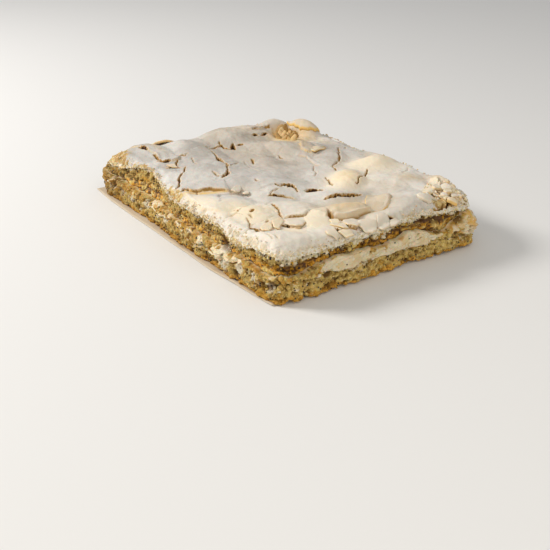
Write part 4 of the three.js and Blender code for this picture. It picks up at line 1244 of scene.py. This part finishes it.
def add_ledge(x, y, jag, numbers, route, rise, reach, face, gold, slit):
    """Adds rise x (1 - distance / reach)^1.5 behind a ledge's edge and a short slope before it, with a
    rounded lip on top and a slit at its foot, which is painted dark as shade. The slope is golden, a very
    golden one a little brown, and so is the lip a little."""
    z, broken, toast = numbers
    route = before_push(route)
    near = near_route(x, y, route, reach + 3)
    jagged = min(1, 0.5 / face)
    distance, share, side = beside_route((x + jagged * jag[0])[near], (y + jagged * jag[1])[near], route)
    ends = smooth_step(np.minimum(share, 1 - share), 0, 0.16)
    behind = (1 - np.minimum(distance / reach, 1)) ** 1.5
    before = 1 - smooth_step(distance, 0, face)
    lip = 0.35 * np.exp(-(((distance - 1.2) / 0.9) ** 2))
    foot = np.where(side < 0, np.exp(-((distance - 0.8 * face) / 0.6) ** 2), 0) * ends
    z[near] += np.where(side > 0, rise * behind + lip, rise * before) * ends - 1.6 * slit * foot
    front = np.where(side < 0, smooth_step(distance, face + 0.5, face * 0.6), 0) * ends
    edge = np.where(side > 0, np.exp(-distance / 0.9), 0) * ends
    raise_to(broken, np.maximum(0.25 * gold**2 * front, 0.8 * slit * foot), near)
    raise_to(toast, gold * np.maximum(0.6 * gold * edge, front), near)


def add_crack(x, y, jag, numbers, route, width, depth, dark):
    """Takes a crack's depth off where the distance to its route is under half its width, which is uneven and
    narrows to both ends. A low lip and a singed border run along it. Inside, its colour is browned and,
    where dark is high, painted near black as shade."""
    z, broken, toast = numbers
    route = before_push(route)
    near = near_route(x, y, route, 6)
    distance, share, _ = beside_route((x + jag[0])[near], (y + jag[1])[near], route)
    uneven = 1 + 0.6 * noise(x[near], y[near], 0, 4.5, 79)
    half = 0.29 * width * uneven * np.sin(np.pi * np.clip(share, 0.02, 0.98)) ** 0.6
    gap = smooth_step(distance, half + 0.4, half * 0.8)
    lip = np.exp(-((distance - half - 0.8) / 0.7) ** 2) * np.minimum(width / 2, 1)
    z[near] += 0.2 * lip - depth * gap
    raise_to(broken, dark * smooth_step(distance, half + 0.75, half + 0.1), near)
    raise_to(toast, 0.5 * dark * np.exp(-np.maximum(distance - half - 0.3, 0) / 0.6), near)


def crust(x, y):
    """The cracked crust at plan points: its height, how deep in a break it is, which browns it and paints
    shade in it, and how toasted, creamy and crumbed. Between ledges and cracks it is broken into plates with
    thin brown seams, more so towards the front corner, and it rolls in low lobes away from the rim. Crumpled
    places sink, toasted, browned and with painted shade in their low folds. Crumbed places and the rim are
    lumpy, with dark pits of painted shade where crumbs lie."""
    shape = np.shape(x)
    x, y = np.ravel(x), np.ravel(y)
    z = meringue_base(x, y)
    nearer = smooth_step(0.7 * x - 0.6 * y, 20, 100)
    shattered = 0.12 + 0.3 * nearer + 0.25 * smooth_step(noise(x, y, 0, 38, 69), 0, 0.6)
    bent_x, bent_y = x + 2.5 * noise(x, y, 0, 9, 67), y + 2.5 * noise(x, y, 0, 9, 68)
    height, border = plates(bent_x, bent_y, SHELL_PLATE, 66)
    seam = np.exp(-((border / 0.42) ** 2)) * smooth_step(noise(x, y, 0, 16, 65), -0.15, 0.35)
    z += shattered * (height - 0.6 * seam)
    broken, toast, crumbed = 0.6 * shattered * seam, np.zeros(x.shape), np.zeros(x.shape)
    for *place, depth in CRUMPLED:
        sunk = np.exp(-round_square(x, y, *place) ** 2)
        folds = rough(x, y, 0, 4.5, 60, 3)
        z += sunk * (1.3 * folds - depth)
        raise_to(toast, 1.2 * sunk)
        # Brown where it sank, with painted shade in the low folds.
        raise_to(broken, sunk * (0.3 + 0.6 * smooth_step(folds, 0, -0.6)))
    jag = [0.8 * rough(x, y, 0, 5.5, seed, 3) for seed in (71, 75)]
    for add, rows in ((add_ledge, LEDGES), (add_crack, CRACKS)):
        for row in rows:
            add(x, y, jag, (z, broken, toast), *row)
    for *place, strength in TOASTED:
        raise_to(toast, strength * np.exp(-round_square(x, y, *place)))
    creamy = 0.35 * nearer
    for *place, strength in CREAMY:
        raise_to(creamy, strength * np.exp(-round_square(x, y, *place) ** 1.5))
    for *place, strength in CRUMBED:
        patch = np.exp(-round_square(x, y, *place))
        spread = 1.4 * strength * patch + 0.5 * rough(x, y, 0, 3.0, 58, 3) * np.minimum(3 * patch, 1)
        raise_to(crumbed, smooth_step(spread, 0.3, 0.6))
    lobes = np.abs(noise(x + 4 * noise(x, y, 0, 21, 84), y, 0, 31, 83))
    z += LOBE_RISE * (lobes - 0.25) * smooth_step(depth_inside(x, y), 2, 14)
    z += 0.35 * rough(x, y, 0, 12, 81, 3) + 0.15 * rough(x, y, 0, 2.6, 85, 2)
    rim = smooth_step(depth_inside(x, y), 5, 0)
    lumps = rough(x, y, 0, 2.6, 89, 3)
    z += np.maximum(rim**2, 0.6 * crumbed) * 0.8 * lumps
    # Painted shade in the pits among the crumbs on the crust.
    raise_to(broken, 0.42 * crumbed * smooth_step(lumps, 0.35, -0.35))
    cut_face = smooth_step(x / LENGTH - y / WIDTH, 0.0, 0.3)
    torn_edge = smooth_step(rough(x, y, 0, 3.4, 56, 3) + 0.3 * rim, 0.1, 0.5)
    raise_to(crumbed, 0.5 * cut_face * rim**2 * torn_edge)
    z = np.maximum(z, upper_sponge_top(x, y) + LAYER_GAP + THINNEST_SHELL)
    return [v.reshape(shape) for v in (z, broken, toast, creamy, crumbed)]


def outward(x, y):
    """The direction square to the nearest side, or away from the corner's centre inside its quarter disc."""
    r = corner_radius(x, y)
    qx, qy = np.abs(x) - (LENGTH / 2 - r), np.abs(y) - (WIDTH / 2 - r)
    corner = (qx > 0) & (qy > 0)
    dx = np.where(corner, qx, np.where(qx > qy, 1.0, 0.0))
    dy = np.where(corner, qy, np.where(qx > qy, 0.0, 1.0))
    size = np.hypot(dx, dy)
    return np.sign(x) * dx / size, np.sign(y) * dy / size


def rim_relief(x, y, z):
    """Crumbled meringue at the rim: broken lumps and holes of two sizes."""
    holes = smooth_step(cell_distance(x, y, z, 3.2, 93), 0.4, 0.12)
    return 1.2 * rough(x, y, z, 4.2, 91, 3) + 0.5 * rough(x, y, z, 1.4, 95, 2) - 1.1 * holes


def dullness(x, y):
    """How much greyer the shell is at plan points, 0 to 1."""
    return np.max([bell(x, y, *place) for place in DULLED], axis=0)


def meringue_mesh():
    """A grid of crust heights over the plan, whose outer points move with the side's relief, fading inward.
    Rows of points lead up to its rim from the gap over the upper sponge, and a lid closes it below. The side
    overhangs the sponge, apart from two places on the long cut face where it was torn back, and droops over
    the short one. Returns the points, the faces, the crust finish's numbers, the side and its loop."""
    along, across = int(LENGTH / MERINGUE_CELL), int(WIDTH / MERINGUE_CELL)
    s, t = np.meshgrid(np.linspace(-1, 1, along + 1), np.linspace(-1, 1, across + 1))
    x, y = plan_point(s, t)
    z, broken, toast, creamy, crumbed = crust(x, y)
    fade = smooth_step(depth_inside(x, y), 9, 0)
    out_x, out_y = outward(x, y)
    out = fade * (side_outset(z) + rim_relief(x, y, z))
    top = np.stack([x + out_x * out, y + out_y * out, z], -1)
    i, j = square_edge(along, across)
    rim = j * (along + 1) + i
    count = len(rim)
    loop = [values.ravel()[rim] for values in (x, y, out_x, out_y)]
    edge_x, edge_y, edge_out_x, edge_out_y = loop
    share = np.linspace(0, 1, RIM_ROWS + 1)[:-1, None]
    low = upper_sponge_top(edge_x, edge_y) + LAYER_GAP + 0.35 + 0.35 * noise(edge_x, edge_y, 0, 3, 97)
    droop = SHORT_FACE_DROOP * short_face(loop)
    low = low - droop
    side_z = low + (z.ravel()[rim] - low) * share
    torn_back = sum(strength * np.exp(-(((edge_x - at) / half) ** 4)) for at, half, strength in TORN_BACK)
    torn_back = torn_back * smooth_step(-edge_y, 60, 80)
    overhang = MERINGUE_OVERHANG - 1.9 * torn_back
    relief = rim_relief(edge_x, edge_y, side_z)
    reach = side_outset(side_z) + overhang * (1 - share) + relief
    side = np.stack([edge_x + edge_out_x * reach, edge_y + edge_out_y * reach, side_z], -1)
    inset = [edge_x - edge_out_x * LID_INSET, edge_y - edge_out_y * LID_INSET]
    ring = np.stack([*inset, low + droop], -1)
    middle = [[0, 0, UPPER_SPONGE_TOP + LAYER_GAP]]
    points = np.concatenate([top.reshape(-1, 3), side.reshape(-1, 3), ring, middle])
    first = x.size
    foot = first + np.arange(count)
    lid = foot + RIM_ROWS * count
    faces = [
        grid_faces(across + 1, along + 1),
        ring_faces(RIM_ROWS, count, first),
        loop_faces(lid - count, rim),
        turned_over(loop_faces(foot, lid)),
        fan_faces(lid[-1] + 1, lid)[:, ::-1],
    ]
    under = len(points) - first
    # Painted shade in the hollows of the rim's crumbled side.
    hollow_shade = smooth_step(-relief, 0.2, 1.6)
    bias = 0.9 - 1.1 * share * (1 - torn_back) - 0.9 * short_face(loop)
    side_crumbs = smooth_step(rough(edge_x, edge_y, side_z, 2.6, 98, 3) + bias, -0.1, 0.4)
    attributes = {
        "broken": np.concatenate([broken.ravel(), (0.4 * hollow_shade).ravel(), np.zeros(count + 1)]),
        "toast": np.append(toast, np.zeros(under)),
        "creamy": np.append(creamy, np.full(under, 0.5)),
        "crumbed": np.concatenate([crumbed.ravel(), side_crumbs.ravel(), np.zeros(count + 1)]),
        "dulled": np.append(dullness(x, y), np.zeros(under)),
    }
    return pushed(points), faces, attributes, side, loop


CRUST_WHITE = (0.765, 0.735, 0.69, 1)
CRUST_GREY = (0.45, 0.42, 0.385, 1)
CRUST_CREAM = (0.88, 0.76, 0.56, 1)
CRUST_TOAST = (0.82, 0.54, 0.18, 1)
CRUST_BREAK = (0.38, 0.21, 0.055, 1)
CRUST_PAINTED_SHADE = (0.05, 0.018, 0.004, 1)
CRUST_BODY = dict(Roughness=0.78, Specular_IOR_Level=0.25, Subsurface_Weight=0.12, Subsurface_Scale=0.002)


def crust_finish():
    """Chalky white to cream, greyer in clouds, in dulled places and in a powdery grain; toasted gold at
    edges, brown in shallow breaks and near black painted shade in deep ones, with sponge crumbs where the
    rim broke."""
    finish = Finish("meringue_crust", **CRUST_BODY)
    # The broken number holds the brown of broken crust and the painted shade in breaks, slits, pits, rim
    # hollows and under plates.
    keys = ("broken", "toast", "creamy", "crumbed", "dulled")
    broken, toast, creamy, crumbed, dulled = (finish.attribute(key) for key in keys)
    cloudy = finish.mottle(34, 0.42, 0.62, 5)
    mottled = finish.grain(6, detail=5)
    powdery = finish.mottle(1.0, 0.5, 0.7)
    greyness = cloudy * (1 - creamy) * 0.5 + mottled.step(0.48, 0.7) * 0.2 + dulled * 0.75 + powdery * 0.12
    tone = finish.blend(greyness, CRUST_WHITE, CRUST_GREY)
    tone = finish.blend(creamy * (0.75 + mottled * 0.4), tone, CRUST_CREAM)
    tone = finish.blend(toast * (0.5 + mottled * 0.8), tone, CRUST_TOAST)
    tone = finish.blend(crumbed * 0.8, tone, crumb_tone(finish))
    tone = finish.blend(broken.step(0.15, 0.55), tone, CRUST_BREAK)
    # Near black painted shade in deep breaks, slits and pits.
    tone = finish.blend(broken.step(0.6, 0.85), tone, CRUST_PAINTED_SHADE)
    finish.feed("Base Color", tone)
    finish.bump(finish.grain(1.1, detail=5, roughness=0.65) + mottled * 0.8, 0.28)
    return finish


crust_look = crust_finish()
crust_points, crust_faces, crust_values, rim_side, rim_loop = meringue_mesh()
meringue = add_piece("meringue_crust", crust_points, crust_faces, crust_look, "meringue", **crust_values)
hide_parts("meringue")


# Loose crust. Thin plates that broke off, tilted or curled up along the cracks, a nest of flakes in a sunken
# place, and three chips and a heap of rubble at the back right corner. All are baked meringue and lie loose.
# A plate: its outline on the plan, how far its underside is lifted, how much more its raised edge rises,
# the way that edge faces in degrees, how far its ends curl down, its thickness, and how creamy and golden
# it is.
PLATES = [
    ([(84, -41), (82, -36), (81, -31), (85, -29), (91, -28), (100, -33), (106, -36), (110, -41), (110, -45),
      (104, -48), (96, -48)], -1.5, 1.6, 100, 0.9, 1.4, 0.85, 0.1),
    ([(79, -52), (80, -48), (84, -45), (90, -45), (95, -47), (98, -52), (97, -56), (92, -58), (86, -57)],
     -0.9, 1.7, -40, 0.5, 1.2, 0.3, 0.5),
    ([(80, -63), (78, -58), (76, -53), (80, -54), (84, -57), (87, -61), (93, -66), (90, -68)],
     -0.9, 1.3, -120, 0.2, 1.2, 1.0, 0.5),
    ([(85, -75), (80, -69), (78, -64), (82, -64), (88, -68), (95, -75), (91, -78)],
     -0.9, 0.9, -110, 0.2, 1.2, 0.9, 0.5),
    ([(78, 16), (83, 22), (91, 24), (99, 19), (104, 12), (106, 5), (104, 1), (99, 0), (92, 3), (84, 10)],
     -1.0, 0.4, -35, 0.3, 1.2, 0.0, 1.5),
    ([(19, -55), (14, -49), (12, -45), (15, -44), (20, -47), (23, -50), (23, -54)],
     -0.6, 2.2, -60, 0.4, 1.1, 0.3, 0.4),
    ([(24, -49), (23, -45), (26, -44), (29, -47), (28, -50)], -0.4, 0.9, -35, 0.2, 1.0, 0.4, 0.3),
    ([(111, -18), (113, -12), (117, -8), (122, -12), (124, -17), (121, -21), (115, -22)],
     -0.6, 2.0, 150, 0.2, 1.3, 0.5, 0.4),
    ([(111, -3), (112, 3), (118, 2), (123, -2), (124, -9), (120, -10)], -0.7, 1.6, 160, 0.3, 1.3, 0.35, 0.4),
    ([(118, 2), (119, 7), (122, 7), (124, 2), (123, -2)], -0.6, 1.0, 150, 0.2, 1.1, 0.4, 0.4),
    ([(103, -24), (104, -17), (110, -15), (116, -19), (117, -24), (113, -28), (107, -28)],
     -0.6, 1.6, -35, 0.5, 1.2, 0.2, 0.9),
    ([(107, -38), (103, -31), (105, -27), (111, -28), (117, -31), (117, -35), (111, -36)],
     -0.5, 1.9, -35, 0.4, 1.1, 0.5, 0.8),
    ([(117, -39), (116, -34), (119, -30), (123, -31), (123, -37)], -0.3, 1.4, 20, 0.2, 1.2, 0.9, 0.5),
    ([(112, -43), (114, -39), (119, -40), (122, -44), (118, -48), (114, -47)],
     -0.4, 1.3, -60, 0.2, 1.1, 0.6, 0.5),
    ([(100, -33), (103, -28), (108, -30), (106, -35)], -0.3, 1.5, 100, 0.2, 1.1, 0.9, 0.6),
    ([(-81, 63), (-72, 64), (-64, 64), (-58, 68), (-55, 74), (-58, 80), (-68, 82), (-78, 80), (-85, 74),
      (-85, 67)], -0.6, 0.8, -35, 0.7, 3.2, 0.1, 1.6),
    ([(-115, -47), (-110, -46), (-104, -41), (-101, -35), (-103, -29), (-108, -30), (-114, -37),
      (-117, -43)], -0.2, 2.6, -35, 2.4, 1.8, 0.6, 0.8),
    ([(-51, -67), (-55, -62), (-55, -58), (-49, -60), (-44, -61), (-46, -65)],
     -0.5, 1.7, -70, 0.4, 1.0, 0.6, 0.8),
    ([(-17, 38), (-19, 44), (-17, 52), (-13, 52), (-13, 44), (-12, 40)], -0.5, 1.3, -20, 0.2, 1.1, 0.5, 1.0),
    ([(80, 73), (86, 74), (93, 68), (101, 57), (104, 49), (100, 46), (94, 55), (87, 64)],
     -0.9, 1.9, 40, 0.6, 1.5, 0.8, 0.6),
    ([(91, 66), (92, 71), (100, 64), (101, 57), (97, 58)], -0.5, 1.9, -35, 0.3, 2.2, 0.6, 0.7),
    ([(99, 68), (100, 73), (107, 68), (108, 61), (104, 62)], -0.6, 1.5, -60, 0.3, 2.0, 0.8, 0.8),
    ([(108, 65), (109, 70), (114, 68), (114, 61)], -0.4, 1.0, -10, 0.3, 1.4, 0.3, 0.6),
    ([(115, 55), (115, 59), (118, 61), (121, 59), (120, 55), (117, 53)], -0.4, 1.0, -35, 0.8, 2.8, 0.9, 1.2),
]
# Chips: centre, length, width and turn in degrees.
CHIPS = [(112, 37, 11, 9, 20), (100, 68, 9, 7, 70), (109, 58, 7, 5, -30)]
CHIP_THICKNESS = 2.2
# How far out from a plate's middle its rings of points lie. Its edges are rounded off past the fourth.
PLATE_RINGS = np.array([0.25, 0.5, 0.75, 0.93, 1.0])
NEST = (-64, 52)
NEST_FLAKES = 16
RUBBLE = (106, 63)
RUBBLE_REACH = 14
RUBBLE_PLATES = 46


def halved(quads):
    """Each quad as two triangles."""
    return np.concatenate([quads[:, :3], quads[:, [0, 2, 3]]])


def plate(outline, lift, rise, facing, curl, thickness, creamy, gold, seed):
    """A plate of crust. Its outline's straight edges are walked in even steps, with a small unevenness, and
    rings of points run in to its middle. It follows the uncracked crust, rises evenly to the edge that faces
    the given way, and its two ends curl down with the square of the distance. A second skin below makes it
    thick, and its rim is rounded. Returns the points, faces and the crust finish's numbers."""
    corners = before_push(outline)
    if np.sum(corners[:, 0] * np.roll(corners[:, 1], -1) - corners[:, 1] * np.roll(corners[:, 0], -1)) < 0:
        corners = corners[::-1]
    loop = np.vstack([corners, corners[:1]])
    length = np.concatenate([[0], np.cumsum(np.hypot(*np.diff(loop, axis=0).T))])
    sectors = max(16, int(length[-1] / 0.9))
    at = np.linspace(0, length[-1], sectors, endpoint=False)
    edge = np.stack([np.interp(at, length, loop[:, axis]) for axis in (0, 1)], -1)
    middle = edge.mean(axis=0)
    uneven = 1 + 0.07 * noise(*edge.T, seed * 9.0, 2.2, 103)
    edge = middle + (edge - middle) * uneven[:, None]
    plan = np.vstack([middle, (middle + (edge - middle) * PLATE_RINGS[:, None, None]).reshape(-1, 2)])
    out = np.append(0, np.repeat(PLATE_RINGS, sectors))
    x, y = plan.T
    c, s = turned_axes(facing)
    ahead, aside = (x - middle[0]) * c + (y - middle[1]) * s, (y - middle[1]) * c - (x - middle[0]) * s
    ahead, aside = ahead / np.abs(ahead).max(), aside / np.abs(aside).max()
    ground = meringue_base(x, y) + 0.35 * noise(x, y, 0, 12, 81)
    level = ground + lift + 0.5 * rise * (1 + ahead) - curl * aside**2
    level += 0.2 * noise(x, y, seed * 9.0, 3, 105)
    at_edge = smooth_step(out, PLATE_RINGS[-2], 1.0)
    round_off = 0.22 * thickness * at_edge
    upper = np.stack([x, y, level + thickness - round_off], -1)
    lower = np.stack([x, y, level + round_off], -1)
    n = len(x)
    first_ring = 1 + np.arange(sectors)
    rim = first_ring + n - 1 - sectors
    skin = halved(turned_over(ring_faces(len(PLATE_RINGS), sectors, 1)))
    skin = np.concatenate([fan_faces(0, first_ring), skin])
    wall = halved(turned_over(loop_faces(rim, rim + n)))
    values = {
        # The underside is browned towards its middle as painted shade under the plate.
        "broken": np.concatenate([0 * out, 0.3 * (1 - out)]),
        "toast": gold * np.concatenate([0.2 + 0.6 * at_edge, 0 * out + 1]),
        "creamy": np.full(2 * n, creamy),
        "crumbed": np.zeros(2 * n),
        "dulled": np.tile(dullness(x, y), 2),
    }
    return np.vstack([upper, lower]), np.concatenate([skin, skin[:, ::-1] + n, wall]), values


def joined(parts):
    """One mesh of many: points one after another, with each part's faces moved up by the points before."""
    starts = np.concatenate([[0], np.cumsum([len(points) for points, _, _ in parts])[:-1]])
    faces = np.concatenate([own + start for (_, own, _), start in zip(parts, starts)])
    values = {key: np.concatenate([own[key] for _, _, own in parts]) for key in parts[0][2]}
    return np.concatenate([points for points, _, _ in parts]), faces, values


def chip_outline(x, y, length, width, turn, seed):
    """Eight corners on an ellipse, each moved a little in or out."""
    angle = np.arange(8) * np.pi / 4 + 0.3
    reach = 0.88 + 0.24 * scatter(np.arange(8), seed, 1, 101)
    a, b = 0.5 * length * reach * np.cos(angle), 0.5 * width * reach * np.sin(angle)
    c, s = turned_axes(turn)
    return np.stack([x + a * c - b * s, y + a * s + b * c], -1)


nest_rng = np.random.default_rng(5)
rubble_rng = np.random.default_rng(31)


def nest_flake(n):
    """A narrow golden flake that leans in the nest, its high end mostly away from the long cut face."""
    angle, out = nest_rng.uniform(0, 2 * np.pi), np.sqrt(nest_rng.random())
    x, y = NEST[0] + 13 * out * np.cos(angle), NEST[1] + 8.5 * out * np.sin(angle)
    length, width = nest_rng.uniform(6, 10), nest_rng.uniform(3.6, 6.0)
    turn, rise = nest_rng.uniform(85, 205), nest_rng.uniform(3, 6)
    outline = chip_outline(x, y, length, width, turn, 300 + n)
    points, faces, values = plate(outline, lift=-2.4, rise=rise, facing=turn, curl=1.4, thickness=1.7,
                                  creamy=0.0, gold=4, seed=30 + n)
    # Browned all over: partly the flakes' own toasting, partly painted shade of the sunken nest.
    values["broken"] = values["broken"] + nest_rng.uniform(0.25, 0.5)
    return points, faces, values


def rubble_plate(n):
    """A small broken plate, tilted any way, in the heap at the back right corner, or None past the edge."""
    angle, out = rubble_rng.uniform(0, 2 * np.pi), RUBBLE_REACH * np.sqrt(rubble_rng.random())
    x, y = RUBBLE[0] + 0.7 * out * np.cos(angle), RUBBLE[1] + out * np.sin(angle)
    length = 3 + 4 * rubble_rng.random() ** 2
    width = length * rubble_rng.uniform(0.55, 0.9)
    outline = chip_outline(x, y, length, width, rubble_rng.uniform(0, 180), 200 + n)
    inside = depth_inside(*outline.T).min() > -1
    ranges = ((-2.4, -0.8), (0.4, 2.4), (0, 360), (0.3, 0.9), (0.3, 1.0))
    lift, rise, facing, gold, creamy = (rubble_rng.uniform(*ends) for ends in ranges)
    if not inside:
        return None
    return plate(outline, lift, rise, facing, curl=0.1, thickness=1.3, creamy=creamy, gold=gold, seed=60 + n)


broken_plates = [plate(*row, n) for n, row in enumerate(PLATES)]
broken_plates += [nest_flake(n) for n in range(NEST_FLAKES)]
broken_plates += [part for part in (rubble_plate(n) for n in range(RUBBLE_PLATES)) if part]
plate_points, plate_faces, plate_values = joined(broken_plates)
add_piece("crust_plates", pushed(plate_points), [plate_faces], crust_look, "meringue", **plate_values)

for n, chip in enumerate(CHIPS):
    outline = chip_outline(*chip, 40 + n)
    points, faces, values = plate(outline, lift=0.2, rise=0.3, facing=-35, curl=0.5,
                                  thickness=CHIP_THICKNESS, creamy=0.5, gold=0.2, seed=40 + n)
    name = f"meringue_chip_{n + 1}_crust"
    piece = add_piece(name, pushed(points), [faces], crust_look, "meringue", **values)
    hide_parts(f"meringue_chip_{n + 1}")


# White crumbs. The meringue's shell is brittle, so it crumbled where it was cut and broken: many crumbs lie
# on its side, some on the top near the rim, and a heap at the back right corner.
CRUMB_HEAP = (106, 66)
CRUMB_HEAP_REACH = 16


def rim_crumbs():
    """The white crumbs' places, their radii and the random numbers' source."""
    rng = np.random.default_rng(23)
    side_count, top_count, heap_count = 2200, 420, 240
    side_sizes = 0.3 + 0.6 * rng.random(side_count) ** 2
    spots, _, _ = side_spots(rim_side, rim_loop, side_count, 0.3 * side_sizes, rng, 0.0, 0.99)
    s, t = rng.uniform(-1, 1, (2, top_count))
    by_end = rng.random(top_count) < 0.5
    inward = 1 - 0.04 * rng.random(top_count) ** 2
    s = np.where(by_end, np.sign(s) * inward, s)
    t = np.where(by_end, t, np.sign(t) * inward)
    x, y = plan_point(s * 0.995, t * 0.99)
    top_sizes = 0.3 + 0.5 * rng.random(top_count) ** 2
    top_spots = np.stack([x, y, crust(x, y)[0] + 0.2 * top_sizes], -1)
    angle = rng.uniform(0, 2 * np.pi, heap_count)
    out = CRUMB_HEAP_REACH * np.sqrt(rng.random(heap_count))
    x, y = CRUMB_HEAP[0] + out * np.cos(angle), CRUMB_HEAP[1] + out * np.sin(angle)
    inside = depth_inside(x, y) > 0.5
    x, y = x[inside], y[inside]
    heap_sizes = 0.4 + 1.3 * rng.random(len(x)) ** 3
    heap = np.stack([x, y, crust(x, y)[0] + 0.3 * heap_sizes], -1)
    centres = np.concatenate([spots, top_spots, heap])
    sizes = np.concatenate([side_sizes, top_sizes, heap_sizes])
    return pushed(centres), sizes, rng


crumb_places, crumb_radii, white_rng = rim_crumbs()
white_points, white_faces = scattered_balls(crumb_places, crumb_radii, 0.6, 0.3, white_rng)
one_each = np.repeat(np.arange(len(crumb_places)), len(BALL_POINTS))
# How strong each of the finish's numbers gets, and the power that keeps it low on most of the crumbs.
WHITE_CRUMBS = {"broken": (0.15, 2), "toast": (0.8, 3), "creamy": (1.0, 1), "crumbed": (1.0, 2)}
white_values = {key: strength * scatter(one_each, n, 0, 109) ** power
                for n, (key, (strength, power)) in enumerate(WHITE_CRUMBS.items())}
add_piece("meringue_crumbs", white_points, white_faces, crust_look, "meringue", **white_values)


# Studio. A plain pale floor and backdrop, one large soft lamp at the upper left for the long cut face, and a
# weak, wide one opposite, so that the short cut face stays in soft shade. Places here are in metres.
FLOOR_HALF_WIDTH = 4.0
FLOOR_HEIGHT = -0.0004
FLOOR_GREY = (0.81, 0.805, 0.795, 1)
BACKDROP_STRENGTH = 0.4
SLAB_MIDDLE = (0, 0, 0.02)
# The camera stands where the photo's did: its place, the way it looks on the plan, its pitch and its lens.
CAMERA_PLACE = np.array([0.51263, -0.36001, 0.2511])
CAMERA_LOOK = np.array([-0.8221, 0.5693])
CAMERA_PITCH = np.radians(25.69)
CAMERA_LENS = 58.9
SENSOR_WIDTH = 36


def studio_floor():
    """A wide level sheet just under the paper."""
    corners = [(x * FLOOR_HALF_WIDTH, y * FLOOR_HALF_WIDTH, FLOOR_HEIGHT)
               for x, y in ((-1, -1), (1, -1), (1, 1), (-1, 1))]
    mesh = bpy.data.meshes.new("floor")
    mesh.from_pydata(corners, [], [(0, 1, 2, 3)])
    floor = bpy.data.objects.new("floor", mesh)
    bpy.context.scene.collection.objects.link(floor)
    finish = Finish("pale_floor", Base_Color=FLOOR_GREY, Roughness=0.6, Specular_IOR_Level=0.2)
    mesh.materials.append(finish.material)


def lamp(name, place, size, watts, colour):
    """A square area lamp at a place in metres, facing the slab's middle."""
    light = bpy.data.lights.new(name, "AREA")
    light.size, light.energy, light.color = size, watts, colour
    holder = bpy.data.objects.new(name, light)
    bpy.context.scene.collection.objects.link(holder)
    aim_at(holder, place, SLAB_MIDDLE)


def aim_at(holder, place, target):
    """Puts an object at a place and turns its -Z axis to a target, with its Y axis upward."""
    back = np.array(place, float) - np.array(target, float)
    back /= np.linalg.norm(back)
    right = np.cross([0, 0, 1], back)
    right /= np.linalg.norm(right)
    up = np.cross(back, right)
    columns = np.stack([right, up, back, place], axis=1)
    holder.matrix_world = Matrix(columns.tolist() + [[0, 0, 0, 1]])


studio_floor()
lamp("key_lamp", place=(-0.85, -0.9, 0.85), size=0.45, watts=19, colour=(1, 0.97, 0.93))
lamp("fill_lamp", place=(0.9, -0.25, 0.7), size=1.2, watts=4.9, colour=(1, 0.93, 0.80))

world = bpy.data.worlds.new("studio")
world.use_nodes = True
backdrop = world.node_tree.nodes["Background"]
backdrop.inputs["Color"].default_value = (1, 1, 1, 1)
backdrop.inputs["Strength"].default_value = BACKDROP_STRENGTH
bpy.context.scene.world = world
bpy.context.scene.view_settings.view_transform = "Standard"

camera_data = bpy.data.cameras.new("camera")
camera_data.lens = CAMERA_LENS
camera_data.sensor_width = SENSOR_WIDTH
camera = bpy.data.objects.new("camera", camera_data)
bpy.context.scene.collection.objects.link(camera)
ahead = np.append(CAMERA_LOOK * np.cos(CAMERA_PITCH), -np.sin(CAMERA_PITCH))
aim_at(camera, CAMERA_PLACE, CAMERA_PLACE + ahead)
bpy.context.scene.camera = camera
